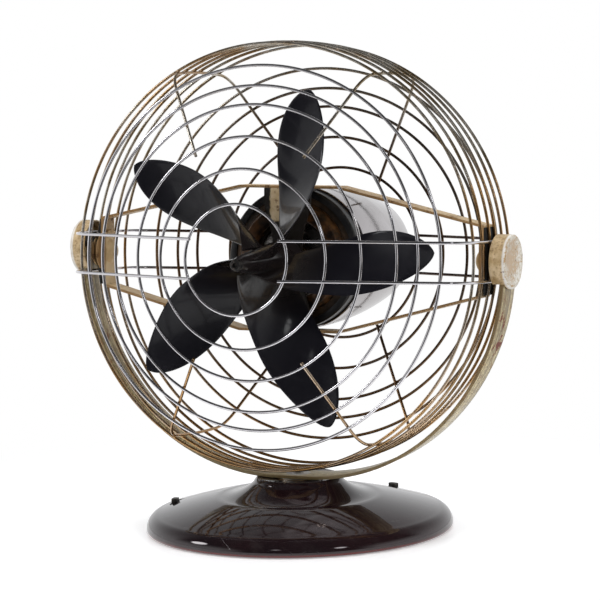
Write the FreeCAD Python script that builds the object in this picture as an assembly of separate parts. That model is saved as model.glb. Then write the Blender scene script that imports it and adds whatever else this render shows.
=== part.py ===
import FreeCAD, Part
import math
import os

# Electric desk fan: a round moulded base, a U-shaped yoke that swivels on it, and a
# wire cage that tilts between the yoke's arms. The cage carries the motor on two flat
# straps, and the motor turns a five-blade moulded rubber propeller.
# Millimetres, +Z up, origin on the table at the middle of the base.
# The propeller side faces -Y, the cage tilts about X and the shaft lies along Y.

# ---- driving dimensions --------------------------------------------------------------
PIVOT_HEIGHT = 208.0          # table to tilt axis
REST_TILT = 5.4               # degrees that the guard's front is tipped up at rest
MOTOR_TILT = 4.3              # the same for the straps, motor and propeller
MOTOR_DROP = 1.8              # shaft axis below the tilt axis, square to the shaft

WIRE_SIDE = 2.2               # guard wire, across its flats
WELD_BITE = 0.12              # how far two welded wires sink into each other
CAGE_RADIUS = 160.6           # wire centre, at the middle of the rim
RIM_BARREL_RADIUS = 460.0     # bulge of the rim from front to back
SHOULDER_Y = 52.0             # where the rim and a dome would meet in a sharp corner
DOME_RISE = 52.0              # shoulder to the smallest front ring, along the shaft
SMALL_RING_RADIUS = 40.5
FRONT_RING_RADII = [40.5, 66.0, 89.5, 113.0, 127.0, 142.0]
BACK_RING_RADII = [66.0, 89.5, 113.0, 127.0, 142.0]
RIM_RING_Y = [-37.0, -21.0, -6.0, 6.0, 21.0, 37.0]
SIDE_RIB_Z = 14.5             # the paired ribs above and below each pivot
CROSS_RIB_ANGLE = 60.0        # the slanting ribs, from the tilt axis
BEND_RADIUS = 25.0            # of the rounded shoulders

YOKE_RADIUS = 172.2           # band centre line
YOKE_ARC_END = 46.0           # degrees below the pivots where the bottom bend starts
YOKE_WIDTH = 26.0
YOKE_THICKNESS = 2.4
YOKE_DROP = 167.0             # tilt axis to the centre line of the flat landing

CAP_RADIUS = 20.1
CAP_INNER_X = 164.3
CAP_OUTER_X = 176.6
CAP_WALL = 1.0
LEFT_CAP_LIFT = 3.5           # the left cap sits high and a little proud of its arm
LEFT_CAP_OUT = 1.2

STRAP_WIDTH = 19.5
STRAP_THICKNESS = 2.0
STRAP_END_X = 154.6           # inner face of the outer strap's end plate
STRAP_END_Z = 25.0
STRAP_KNEE_X = 40.0
STRAP_TOP_Z = 53.0            # shaft axis to the inner face of either strap's flat
STRAP_LAP_Z = 16.5            # how far an end plate runs past the pivot, and its rounding

STUD_RADIUS = 4.0
STUD_HEAD_RADIUS = 9.4
STUD_HEAD_HEIGHT = 4.8
STUD_COLLAR_RADIUS = 16.0     # round disc between the end plates and the rubber pad
STUD_COLLAR = 1.0
ROLLED_END_RADIUS = 6.2
ROLLED_END = 1.3
ROLLED_END_GAP = 0.1          # off the yoke arm
SPACER_RADIUS = 6.6
SPACER_FLANGE_RADIUS = 12.0
SIDE_PLAY = 0.45              # between a spacer and its yoke arm
SHAFT_RADIUS = 4.0
RUNNING_GAP = 0.08            # radial, on every turning fit

MOTOR_RADIUS = 54.5
MOTOR_MOUTH_Y = 14.0
MOTOR_TAIL_Y = 163.8
MOTOR_WALL = 1.5
BELL_TAIL_RADIUS = 45.0
BELL_LAP = 3.0                # how far the front ring runs into the bell
BELL_TAIL_FLAT = 2.0          # radius of the flat spot at the very tail
STATOR_RADIUS = 47.5
STATOR_BORE = 28.0
STATOR_FRONT_Y = 3.0
STATOR_LENGTH = 32.0
ROTOR_RADIUS = 27.5
REAR_PLATE_Y = 50.0
BRIDGE_FRONT_Y = -11.0
BRIDGE_THICKNESS = 2.0

BLADE_COUNT = 5
BLADE_TIP_RADIUS = 131.0
BLADE_WIDEST_RADIUS = 60.0    # outside it the blade narrows to its rounded tip
BLADE_CHORD = 50.0            # at the widest radius
BLADE_ROOT_GROWTH = 20.0      # added to the chord from there to the axis
BLADE_ROOT_PITCH = 86.0       # degrees, at the axis
BLADE_SWEEP = 50.0            # scale of the blade's lean against its turning
BLADE_FORWARD = 43.3          # pivots to the blade's middle line, at the tip
BLADE_ROOT_FORWARD = 18.0     # added to that at the axis
BLADE_PHASE = 4.0             # degrees, first blade from +X
BLADE_THICKNESS = 2.6
BLADE_EDGE = 1.2
BLADE_CAMBER = 0.08           # of the chord
HUB_FRONT_Y = -101.5
HUB_BACK_Y = -15.0
NOSE_RADIUS = 4.6

BASE_RADIUS = 116.6
BASE_WIDEST_Z = 3.2
BASE_EDGE_Z = 0.4             # lowest edge of the moulding, round the felt pad
BASE_TOP_Z = 38.0             # seat of the bushing's flange
NECK_RADIUS = 34.3
NECK_Z = 36.2
NECK_RIM_RADIUS = 31.3        # raised rim of the neck, dished to follow the yoke
NECK_RIM_Z = 40.1
NECK_SEAT_RADIUS = 18.5
NECK_SEAT_Z = 39.3            # lowest part of the dish, just outside the seat
PAD_RADIUS = 108.6
PAD_THICKNESS = 1.4
PLATE_THICKNESS = 1.2
BASE_REAR_ANGLE = 126.5       # degrees from +X: the side with the cord inlet
GROMMET_Z = 7.6
GROMMET_RADIUS = 4.0
GROMMET_BORE = 2.8            # radius left open for a cord
LEVER_SPREAD = 60.5           # degrees, each lever from the rear
LEVER_PIVOT_RADIUS = 73.5
LEVER_REACH = 26.0            # pivot to tab
LEVER_SWING = 14.0            # degrees each way
TAB_DEPTH = 4.0               # along the arm
TAB_WIDTH = 7.0
TAB_TOP_Z = 19.6
SLOT_GAP = 0.8                # round the tab
NECK_BORE = 12.0
STEM_RADIUS = 6.95            # hollow swivel stem
STEM_HEAD_RADIUS = 9.3

# ---- worked out from the driving dimensions ---------------------------------------------
SHOULDER_RADIUS = CAGE_RADIUS - SHOULDER_Y ** 2 / (2 * RIM_BARREL_RADIUS)
DOME_SLOPE = DOME_RISE / (SHOULDER_RADIUS - SMALL_RING_RADIUS)
WELD_PITCH = WIRE_SIDE - WELD_BITE
YOKE_OUTER_DROP = YOKE_DROP + YOKE_THICKNESS / 2
YOKE_UNDERSIDE_Z = PIVOT_HEIGHT - YOKE_OUTER_DROP

X_AXIS = FreeCAD.Vector(1, 0, 0)
Y_AXIS = FreeCAD.Vector(0, 1, 0)
Z_AXIS = FreeCAD.Vector(0, 0, 1)
ORIGIN = FreeCAD.Vector(0, 0, 0)
PIVOT = FreeCAD.Vector(0, 0, PIVOT_HEIGHT)


# ---- helpers ---------------------------------------------------------------------------
def vector(x, y, z):
    return FreeCAD.Vector(x, y, z)


def outline(points):
    """Closed wire through points; a point given as (middle, end) makes an arc."""
    edges = []
    here = points[0]
    for step in points[1:]:
        if isinstance(step, tuple):
            middle, end = step
            edges.append(Part.Arc(here, middle, end).toShape())
        else:
            end = step
            edges.append(Part.makeLine(here, end))
        here = end
    if here.distanceToPoint(points[0]) > 1e-6:
        edges.append(Part.makeLine(here, points[0]))
    return Part.Wire(edges)


def revolved(points, axis, centre=ORIGIN):
    face = Part.Face(outline(points))
    return face.revolve(centre, axis, 360)


def extruded(points, direction):
    return Part.Face(outline(points)).extrude(direction)


def tube(outer, inner, start, length, axis):
    """Round tube from start along axis."""
    shape = Part.makeCylinder(outer, length, start, axis)
    if inner > 0:
        shape = shape.cut(Part.makeCylinder(inner, length, start, axis))
    return shape


def polar(radius, degrees, z=0.0):
    angle = math.radians(degrees)
    return vector(radius * math.cos(angle), radius * math.sin(angle), z)


def wire_section(centre, across, up):
    """Square wire section with its flats square to the two directions."""
    half = WIRE_SIDE / 2
    points = []
    for side, level in ((-1, -1), (1, -1), (1, 1), (-1, 1)):
        points.append(centre + across * (half * side) + up * (half * level))
    return Part.makePolygon(points + points[:1])


def placed_in_cage(shape):
    """From the guard's own axes, centred between the pivots, to the tipped rest pose."""
    moved = shape.copy()
    moved.rotate(ORIGIN, X_AXIS, -REST_TILT)
    moved.translate(PIVOT)
    return moved


def placed_on_straps(shape):
    """From the straps' own axes, centred between the pivots, to the rest pose."""
    moved = shape.copy()
    moved.rotate(ORIGIN, X_AXIS, -MOTOR_TILT)
    moved.translate(PIVOT)
    return moved


def placed_in_motor(shape):
    """From the motor's own axes, shaft along Y, to the rest pose."""
    moved = shape.copy()
    moved.translate(vector(0, 0, -MOTOR_DROP))
    return placed_on_straps(moved)


def one_solid(shape):
    solids = shape.Solids
    if len(solids) != 1:
        raise ValueError("expected one solid, found %d" % len(solids))
    return solids[0]


def save(name, shape):
    solid = one_solid(shape)
    if not solid.isValid() or solid.Volume <= 0:
        raise ValueError(name + " is not a valid solid")
    solid.exportStep("parts/" + name + ".step")


# ---- guard wires -----------------------------------------------------------------------
def dome_y(radius):
    """Distance of the dome from the pivot plane at a ring radius."""
    return SHOULDER_Y + (SHOULDER_RADIUS - radius) * DOME_SLOPE


def rim_radius(y):
    return CAGE_RADIUS - y ** 2 / (2 * RIM_BARREL_RADIUS)


def guard_ring(radius, y, lean):
    """Ring about the shaft axis, its flats leaning with the surface that it lies in."""
    outward = vector(math.cos(lean), math.sin(lean), 0)
    along = vector(-math.sin(lean), math.cos(lean), 0)
    section = wire_section(vector(radius, y, 0), along, outward)
    return Part.Face(section).revolve(ORIGIN, Y_AXIS, 360)


def rib_path(offset, radius_drop, front_end, back_end):
    """Rib centre line in the (radius, y) half plane, front end first.

    offset is the distance outside (+) or inside (-) the ring centres, and radius_drop
    how much nearer the axis the rings are met, for a rib that doesn't lie in a plane
    through the axis. The rim stretch is an arc; two tangent bends join it to straight
    runs down the domes.
    """
    bend_radius = BEND_RADIUS + offset
    dome_angle = math.atan(DOME_SLOPE)
    rim_arc = RIM_BARREL_RADIUS + offset
    rim_centre = CAGE_RADIUS - RIM_BARREL_RADIUS - radius_drop
    # Straight run: points (r, y) with r*sin + y*cos = reach, for the back dome.
    along = (math.cos(dome_angle), -math.sin(dome_angle))
    normal = (math.sin(dome_angle), math.cos(dome_angle))
    reach = (SHOULDER_RADIUS - radius_drop) * normal[0] + SHOULDER_Y * normal[1] + offset
    # Bend centre: bend_radius inside the run and inside the rim arc.
    inner_reach = reach - bend_radius
    arc_gap = rim_arc - bend_radius
    foot = inner_reach - rim_centre * normal[0]
    slide = math.sqrt(arc_gap ** 2 - foot ** 2)
    bend = (rim_centre + foot * normal[0] + slide * along[0], foot * normal[1] + slide * along[1])
    run_start = (bend[0] + bend_radius * normal[0], bend[1] + bend_radius * normal[1])
    rim_angle = math.atan2(bend[1], bend[0] - rim_centre)
    rim_end = (rim_centre + rim_arc * math.cos(rim_angle), rim_arc * math.sin(rim_angle))
    bend_turn = (rim_angle + math.pi / 2 - dome_angle) / 2
    bend_middle = (bend[0] + bend_radius * math.cos(bend_turn), bend[1] + bend_radius * math.sin(bend_turn))

    def run_end(radius):
        return (radius, run_start[1] + (run_start[0] - radius) * math.tan(dome_angle))

    def mirrored(point):
        return (point[0], -point[1])

    rim_middle = (rim_centre + rim_arc, 0.0)
    return [mirrored(run_end(front_end)), mirrored(run_start),
            (mirrored(bend_middle), mirrored(rim_end)),
            (rim_middle, rim_end),
            (bend_middle, run_start),
            run_end(back_end)]


def rib(path, outward, sideways):
    """Sweep the wire section along a rib path laid out in the (outward, y) plane."""
    def in_space(point):
        return outward * point[0] + Y_AXIS * point[1] + sideways

    steps = []
    for step in path:
        if isinstance(step[0], tuple):
            steps.append((in_space(step[0]), in_space(step[1])))
        else:
            steps.append(in_space(step))
    edges = []
    here = steps[0]
    for step in steps[1:]:
        if isinstance(step, tuple):
            edges.append(Part.Arc(here, step[0], step[1]).toShape())
            here = step[1]
        else:
            edges.append(Part.makeLine(here, step))
            here = step
    spine = Part.Wire(edges)
    start = steps[0]
    along = (steps[1] - steps[0]).normalize()
    flat = outward.cross(Y_AXIS).normalize()
    section = wire_section(start, flat, along.cross(flat))
    return spine.makePipeShell([section], True, False)


def build_guard():
    dome_lean = math.pi / 2 - math.atan(DOME_SLOPE)
    for index, radius in enumerate(FRONT_RING_RADII):
        ring = guard_ring(radius, -dome_y(radius), -dome_lean)
        save("guard_front_ring_%d" % (index + 1), placed_in_cage(ring))
    for index, radius in enumerate(BACK_RING_RADII):
        ring = guard_ring(radius, dome_y(radius), dome_lean)
        save("guard_back_ring_%d" % (index + 1), placed_in_cage(ring))
    for index, y in enumerate(RIM_RING_Y):
        ring = guard_ring(rim_radius(y), y, y / RIM_BARREL_RADIUS)
        save("guard_rim_ring_%d" % (index + 1), placed_in_cage(ring))


def build_ribs():
    # Side ribs: outside every ring but the smallest, level pairs at each pivot.
    for side, outward in (("right", X_AXIS), ("left", -X_AXIS)):
        for level, height in (("upper", SIDE_RIB_Z), ("lower", -SIDE_RIB_Z)):
            drop = CAGE_RADIUS - math.sqrt(CAGE_RADIUS ** 2 - SIDE_RIB_Z ** 2)
            path = rib_path(WELD_PITCH, drop, 35.0, 61.0)
            shape = rib(path, outward, Z_AXIS * height)
            save("guard_side_rib_%s_%s" % (side, level), placed_in_cage(shape))
    # Cross ribs: inside every ring, in planes through the shaft axis.
    for side, level, angle in (("right", "upper", CROSS_RIB_ANGLE), ("left", "upper", 180 - CROSS_RIB_ANGLE),
                               ("left", "lower", 180 + CROSS_RIB_ANGLE), ("right", "lower", -CROSS_RIB_ANGLE)):
        outward = vector(math.cos(math.radians(angle)), 0, math.sin(math.radians(angle)))
        path = rib_path(-WELD_PITCH, 0.0, 86.0, 62.5)
        save("guard_cross_rib_%s_%s" % (side, level), placed_in_cage(rib(path, outward, ORIGIN)))


# ---- yoke ------------------------------------------------------------------------------
def build_yoke():
    end = math.radians(YOKE_ARC_END)
    shift = (YOKE_RADIUS - YOKE_DROP) / (1 - math.sin(end))

    def side(radius_change, mirror):
        """Points of one edge line of the band, pivot end first."""
        outer = YOKE_RADIUS + radius_change
        bend = outer - shift
        centre = vector(mirror * shift * math.cos(end), 0, -shift * math.sin(end))
        half = end / 2
        turn = (end + math.pi / 2) / 2
        pivot_end = vector(mirror * outer, 0, 0)
        arc_middle = vector(mirror * outer * math.cos(half), 0, -outer * math.sin(half))
        arc_end = vector(mirror * outer * math.cos(end), 0, -outer * math.sin(end))
        bend_middle = centre + vector(mirror * bend * math.cos(turn), 0, -bend * math.sin(turn))
        landing = centre + vector(0, 0, -bend)
        return pivot_end, arc_middle, arc_end, bend_middle, landing

    half_thickness = YOKE_THICKNESS / 2
    outer_right = side(half_thickness, 1)
    outer_left = side(half_thickness, -1)
    inner_right = side(-half_thickness, 1)
    inner_left = side(-half_thickness, -1)
    top = YOKE_WIDTH / 2
    points = [outer_right[0] + Z_AXIS * top, outer_right[0], (outer_right[1], outer_right[2]),
              (outer_right[3], outer_right[4]), outer_left[4], (outer_left[3], outer_left[2]),
              (outer_left[1], outer_left[0]), outer_left[0] + Z_AXIS * top,
              inner_left[0] + Z_AXIS * top, inner_left[0], (inner_left[1], inner_left[2]),
              (inner_left[3], inner_left[4]), inner_right[4], (inner_right[3], inner_right[2]),
              (inner_right[1], inner_right[0]), inner_right[0] + Z_AXIS * top]
    band = extruded(points, vector(0, YOKE_WIDTH, 0))
    band.translate(vector(0, -YOKE_WIDTH / 2, 0))
    # Round ends about the pivots.
    reach = CAP_OUTER_X
    below = Part.makeBox(2 * reach, YOKE_WIDTH, 2 * YOKE_RADIUS, vector(-reach, -YOKE_WIDTH / 2, -2 * YOKE_RADIUS))
    round_end = Part.makeCylinder(YOKE_WIDTH / 2, 2 * reach, vector(-reach, 0, 0), X_AXIS)
    band = band.common(below.fuse(round_end))
    pivot_hole = Part.makeCylinder(STUD_RADIUS + RUNNING_GAP, 2 * reach, vector(-reach, 0, 0), X_AXIS)
    stem_hole = Part.makeCone(STEM_RADIUS, STEM_HEAD_RADIUS, YOKE_THICKNESS, vector(0, 0, -YOKE_OUTER_DROP))
    band = band.cut(pivot_hole).cut(stem_hole)
    band.translate(PIVOT)
    save("yoke_band", band)

    save("pivot_cap_right", pivot_cap(1))
    save("pivot_cap_left", pivot_cap(-1))


def pivot_cap(mirror):
    """Drawn steel cap over the pivot nut, slotted below where the yoke arm enters."""
    depth = CAP_OUTER_X
    inner = CAP_RADIUS - CAP_WALL
    bevel = 0.8
    rim_step = 0.5
    rim_width = 2.6
    points = [vector(CAP_INNER_X, 0, inner), vector(CAP_INNER_X, 0, CAP_RADIUS),
              vector(depth - bevel, 0, CAP_RADIUS), vector(depth, 0, CAP_RADIUS - bevel),
              vector(depth, 0, CAP_RADIUS - rim_width),
              vector(depth - rim_step, 0, CAP_RADIUS - rim_width - 1.0),
              vector(depth - rim_step, 0, 0), vector(depth - CAP_WALL - rim_step, 0, 0),
              vector(depth - CAP_WALL - rim_step, 0, inner)]
    cap = revolved(points, X_AXIS)
    slot_depth = YOKE_RADIUS + YOKE_THICKNESS / 2 - CAP_INNER_X
    slot = Part.makeBox(slot_depth, YOKE_WIDTH, CAP_RADIUS + 5, vector(CAP_INNER_X, -YOKE_WIDTH / 2, -CAP_RADIUS - 5))
    cap = cap.cut(slot)
    if mirror < 0:
        cap = cap.mirror(ORIGIN, X_AXIS)
        cap.translate(vector(-LEFT_CAP_OUT, 0, LEFT_CAP_LIFT))
    cap.translate(PIVOT)
    return cap


def build_swivel():
    flange_top = BASE_TOP_Z + 1.0
    bushing_bottom = 23.0
    # Flanged bushing pressed into the neck.
    flange_radius = 17.0
    bore = STEM_RADIUS + RUNNING_GAP
    points = [vector(bore, 0, bushing_bottom), vector(NECK_BORE, 0, bushing_bottom), vector(NECK_BORE, 0, BASE_TOP_Z),
              vector(flange_radius, 0, BASE_TOP_Z), vector(flange_radius, 0, flange_top), vector(bore, 0, flange_top)]
    save("neck_bushing", revolved(points, Z_AXIS))
    # Friction washer that turns with the yoke.
    washer = tube(15.0, STEM_RADIUS, vector(0, 0, flange_top), YOKE_UNDERSIDE_Z - flange_top, Z_AXIS)
    save("swivel_washer", washer)
    # Hollow stem, flared flush into the yoke's landing.
    stem_bottom = 15.0
    stem_bore = 4.0
    band_top = YOKE_UNDERSIDE_Z + YOKE_THICKNESS
    points = [vector(stem_bore, 0, stem_bottom), vector(STEM_RADIUS, 0, stem_bottom),
              vector(STEM_RADIUS, 0, YOKE_UNDERSIDE_Z), vector(STEM_HEAD_RADIUS, 0, band_top),
              vector(stem_bore, 0, band_top)]
    save("swivel_stem", revolved(points, Z_AXIS))
    # Nut with a dished collar that presses on the bushing from below.
    nut_height = 5.0
    nut_top = bushing_bottom - 0.1
    corners = [polar(12.0, 60 * index, nut_top - nut_height) for index in range(6)]
    nut = extruded(corners, vector(0, 0, nut_height))
    nut = nut.cut(Part.makeCylinder(STEM_RADIUS, 4 * nut_height, vector(0, 0, nut_top - 2 * nut_height)))
    save("swivel_nut", nut)


# ---- motor carrier ----------------------------------------------------------------------
def strap(inner_end_x, sign):
    """One bent strap over (sign +1) or under (-1) the motor, with its two end plates."""
    thickness = STRAP_THICKNESS
    lap = -STRAP_LAP_Z
    flat = STRAP_TOP_Z - sign * MOTOR_DROP
    slope = math.atan2(flat - STRAP_END_Z, inner_end_x - STRAP_KNEE_X)
    # Inner face line, then the same line offset outwards by the thickness.
    corner_shift = thickness * math.tan((math.pi / 2 - slope) / 2)
    knee_shift = thickness * math.tan(slope / 2)
    right = [(inner_end_x, lap), (inner_end_x, STRAP_END_Z), (STRAP_KNEE_X, flat)]
    right_outer = [(STRAP_KNEE_X + knee_shift, flat + thickness),
                   (inner_end_x + thickness, STRAP_END_Z + corner_shift), (inner_end_x + thickness, lap)]
    left = [(-x, z) for x, z in reversed(right)]
    left_outer = [(-x, z) for x, z in reversed(right_outer)]
    points = right + left + left_outer + right_outer
    corners = [vector(x, -STRAP_WIDTH / 2, sign * z) for x, z in points]
    shape = extruded(corners, vector(0, STRAP_WIDTH, 0))
    # Each end plate is rounded about its pivot.
    reach = inner_end_x + thickness
    above = Part.makeBox(2 * reach, STRAP_WIDTH, reach, vector(-reach, -STRAP_WIDTH / 2, 0))
    if sign < 0:
        above.translate(vector(0, 0, -reach))
    rounded = Part.makeCylinder(STRAP_LAP_Z, 2 * reach, vector(-reach, 0, 0), X_AXIS)
    hole = Part.makeCylinder(STUD_RADIUS, 2 * reach, vector(-reach, 0, 0), X_AXIS)
    return shape.common(above.fuse(rounded)).cut(hole)


def build_carrier():
    save("strap_upper", placed_on_straps(strap(STRAP_END_X, 1)))
    save("strap_lower", placed_on_straps(strap(STRAP_END_X - STRAP_THICKNESS, -1)))

    collar_inner = STRAP_END_X + STRAP_THICKNESS
    collar_outer = collar_inner + STUD_COLLAR
    pad_outer = CAGE_RADIUS - WIRE_SIDE / 2 - 0.05
    flange_inner = CAGE_RADIUS + WIRE_SIDE / 2
    flange_outer = flange_inner + 1.5
    arm_inner = YOKE_RADIUS - YOKE_THICKNESS / 2
    arm_outer = YOKE_RADIUS + YOKE_THICKNESS / 2
    head_face = STRAP_END_X - STRAP_THICKNESS
    for name, mirror in (("right", 1), ("left", -1)):
        axis = X_AXIS * mirror

        def at(x):
            return axis * x

        # Rubber pad between strap and rim, curved with the rim and sunk for the collar.
        pad = Part.makeBox(pad_outer - collar_inner, STRAP_WIDTH, 2 * STRAP_END_Z,
                           vector(collar_inner, -STRAP_WIDTH / 2, -STRAP_END_Z))
        pad = pad.common(Part.makeCylinder(pad_outer, STRAP_WIDTH, vector(0, -STRAP_WIDTH / 2, 0), Y_AXIS))
        pad = pad.cut(Part.makeCylinder(STUD_COLLAR_RADIUS, STUD_COLLAR, vector(collar_inner, 0, 0), X_AXIS))
        pad = pad.cut(Part.makeCylinder(STUD_RADIUS, pad_outer, ORIGIN, X_AXIS))
        if mirror < 0:
            pad = pad.mirror(ORIGIN, X_AXIS)
        save("pivot_pad_" + name, placed_on_straps(pad))

        # Flanged spacer: clamps the rim rings and keeps the yoke arm off them.
        points = [at(flange_inner) + Z_AXIS * STUD_RADIUS, at(flange_inner) + Z_AXIS * SPACER_FLANGE_RADIUS,
                  at(flange_outer) + Z_AXIS * SPACER_FLANGE_RADIUS, at(flange_outer) + Z_AXIS * SPACER_RADIUS,
                  at(arm_inner - SIDE_PLAY) + Z_AXIS * SPACER_RADIUS, at(arm_inner - SIDE_PLAY) + Z_AXIS * STUD_RADIUS]
        save("pivot_spacer_" + name, placed_on_straps(revolved(points, X_AXIS)))

        # Round-headed stud through the lot, its outer end turned over on the arm.
        crown = at(head_face - STUD_HEAD_HEIGHT)
        brow = at(head_face - STUD_HEAD_HEIGHT * 0.7) + Z_AXIS * (STUD_HEAD_RADIUS * 0.62)
        rolled_inner = arm_outer + ROLLED_END_GAP
        rolled_outer = rolled_inner + ROLLED_END
        points = [crown, (brow, at(head_face) + Z_AXIS * STUD_HEAD_RADIUS), at(head_face) + Z_AXIS * STUD_RADIUS,
                  at(collar_inner) + Z_AXIS * STUD_RADIUS, at(collar_inner) + Z_AXIS * STUD_COLLAR_RADIUS,
                  at(collar_outer) + Z_AXIS * STUD_COLLAR_RADIUS, at(collar_outer) + Z_AXIS * STUD_RADIUS,
                  at(rolled_inner) + Z_AXIS * STUD_RADIUS, at(rolled_inner) + Z_AXIS * ROLLED_END_RADIUS,
                  at(rolled_outer) + Z_AXIS * STUD_RADIUS, at(rolled_outer)]
        save("pivot_stud_" + name, placed_on_straps(revolved(points, X_AXIS)))


# ---- motor -----------------------------------------------------------------------------
def bell_profile(shrink):
    """Mouth to tail in the (radius, y) half plane: a long flank arc, then a round tail."""
    span = MOTOR_TAIL_Y - MOTOR_MOUTH_Y - BELL_TAIL_RADIUS
    squared = MOTOR_RADIUS ** 2 + span ** 2 - BELL_TAIL_RADIUS ** 2
    flank_radius = squared / (2 * (MOTOR_RADIUS - BELL_TAIL_RADIUS))
    flank_centre = vector(MOTOR_RADIUS - flank_radius, MOTOR_MOUTH_Y, 0)
    tail_centre = vector(0, MOTOR_TAIL_Y - BELL_TAIL_RADIUS, 0)
    join = (tail_centre - flank_centre).normalize()
    join_angle = math.atan2(join.y, join.x)

    def on_arc(centre, radius, angle):
        return centre + vector(radius * math.cos(angle), radius * math.sin(angle), 0)

    flank = flank_radius - shrink
    tail = BELL_TAIL_RADIUS - shrink
    flat_angle = math.acos(BELL_TAIL_FLAT / tail)
    return [on_arc(flank_centre, flank, 0),
            (on_arc(flank_centre, flank, join_angle / 2), on_arc(flank_centre, flank, join_angle)),
            (on_arc(tail_centre, tail, (join_angle + flat_angle) / 2), on_arc(tail_centre, tail, flat_angle)),
            vector(0, on_arc(tail_centre, tail, flat_angle).y, 0),
            vector(0, MOTOR_MOUTH_Y, 0)]


def build_motor():
    # Streamlined bell, a thin spun shell open at the mouth.
    bell = revolved(bell_profile(0.0), Y_AXIS).cut(revolved(bell_profile(MOTOR_WALL), Y_AXIS))
    save("motor_bell", placed_in_motor(bell))

    # Front ring that the straps clamp and the bell is pushed over.
    ring_back = MOTOR_MOUTH_Y + BELL_LAP
    points = [vector(STATOR_RADIUS, 2.0, 0), vector(STRAP_TOP_Z - 1.0, 2.0, 0), vector(STRAP_TOP_Z, 3.0, 0),
              vector(STRAP_TOP_Z, ring_back, 0), vector(STATOR_RADIUS, ring_back, 0)]
    save("motor_front_ring", placed_in_motor(revolved(points, Y_AXIS)))

    # Laminated stator, and the end of its winding that shows in the mouth.
    stator = tube(STATOR_RADIUS, STATOR_BORE, vector(0, STATOR_FRONT_Y, 0), STATOR_LENGTH, Y_AXIS)
    save("motor_stator", placed_in_motor(stator))
    coil_front = STATOR_FRONT_Y - 8.0
    points = [vector(32.0, coil_front, 0), vector(40.0, coil_front, 0), vector(43.0, STATOR_FRONT_Y - 3.0, 0),
              vector(43.0, STATOR_FRONT_Y, 0), vector(30.0, STATOR_FRONT_Y, 0), vector(30.0, coil_front + 2.0, 0)]
    save("motor_coil", placed_in_motor(revolved(points, Y_AXIS)))

    # Upright bridge across the mouth that holds the front bearing between the straps.
    bridge_back = BRIDGE_FRONT_Y + BRIDGE_THICKNESS
    wide = 19.0
    waist = 12.0
    tall = STRAP_TOP_Z
    points = [vector(-wide, BRIDGE_FRONT_Y, tall), vector(-wide, BRIDGE_FRONT_Y, tall - 12),
              vector(-waist, BRIDGE_FRONT_Y, 16), vector(-waist, BRIDGE_FRONT_Y, -16),
              vector(-wide, BRIDGE_FRONT_Y, 12 - tall), vector(-wide, BRIDGE_FRONT_Y, -tall),
              vector(wide, BRIDGE_FRONT_Y, -tall), vector(wide, BRIDGE_FRONT_Y, 12 - tall),
              vector(waist, BRIDGE_FRONT_Y, -16), vector(waist, BRIDGE_FRONT_Y, 16),
              vector(wide, BRIDGE_FRONT_Y, tall - 12), vector(wide, BRIDGE_FRONT_Y, tall)]
    bridge = extruded(points, vector(0, BRIDGE_THICKNESS, 0))
    for sign in (1, -1):
        tab = Part.makeBox(2 * wide, 9.0, BRIDGE_THICKNESS,
                           vector(-wide, bridge_back - 0.01, tall - BRIDGE_THICKNESS if sign > 0 else -tall))
        bridge = bridge.fuse(tab)
    bridge = bridge.cut(Part.makeCylinder(8.0, 40, vector(0, -30, 0), Y_AXIS))
    save("motor_bridge", placed_in_motor(bridge.removeSplitter()))
    points = [vector(SHAFT_RADIUS + RUNNING_GAP, BRIDGE_FRONT_Y - 1.5, 0), vector(8.0, BRIDGE_FRONT_Y - 1.5, 0),
              vector(8.0, bridge_back, 0), vector(10.5, bridge_back, 0), vector(9.0, -1.0, 0),
              vector(SHAFT_RADIUS + RUNNING_GAP, -1.0, 0)]
    save("motor_front_bearing", placed_in_motor(revolved(points, Y_AXIS)))

    # Rear end plate inside the bell, with the rear bearing in its middle.
    hub_radius = 8.0
    points = [vector(SHAFT_RADIUS + RUNNING_GAP, REAR_PLATE_Y - 4.0, 0), vector(hub_radius, REAR_PLATE_Y - 4.0, 0),
              vector(hub_radius, REAR_PLATE_Y, 0), vector(MOTOR_RADIUS, REAR_PLATE_Y, 0),
              vector(MOTOR_RADIUS, REAR_PLATE_Y + 2.0, 0),
              vector(SHAFT_RADIUS + RUNNING_GAP, REAR_PLATE_Y + 2.0, 0)]
    plate = revolved(points, Y_AXIS).common(revolved(bell_profile(MOTOR_WALL), Y_AXIS))
    save("motor_rear_plate", placed_in_motor(plate))


# ---- rotor, shaft and propeller -----------------------------------------------------------
def blade_section(radius):
    """Closed blade section in the plane square to the blade's radial line."""
    share = radius / BLADE_TIP_RADIUS
    taper = (radius - BLADE_WIDEST_RADIUS) / (BLADE_TIP_RADIUS - BLADE_WIDEST_RADIUS)
    if taper > 0:
        chord = BLADE_CHORD * (1 - taper ** 2) ** 0.6
    else:
        chord = BLADE_CHORD + BLADE_ROOT_GROWTH * (1 - radius / BLADE_WIDEST_RADIUS) ** 2
    pitch = math.radians(BLADE_ROOT_PITCH * (1 - share) ** 1.45)
    sweep = BLADE_SWEEP * share * (1 - share) ** 2
    forward = BLADE_FORWARD + BLADE_ROOT_FORWARD * (1 - share) ** 4
    centre = vector(radius, -forward, -sweep)
    # From the forward edge (clockwise, towards -Z) to the rear edge.
    along = vector(0, math.sin(pitch), math.cos(pitch))
    normal = vector(0, math.cos(pitch), -math.sin(pitch))
    edge = normal * (BLADE_EDGE / 2)
    half = normal * (BLADE_THICKNESS / 2)
    front = centre - along * (chord / 2)
    back = centre + along * (chord / 2)
    middle = centre + normal * (chord * BLADE_CAMBER)
    edges = [Part.Arc(front + edge, middle + half, back + edge).toShape(),
             Part.makeLine(back + edge, back - edge),
             Part.Arc(back - edge, middle - half, front - edge).toShape(),
             Part.makeLine(front - edge, front + edge)]
    return Part.Wire(edges)


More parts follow.
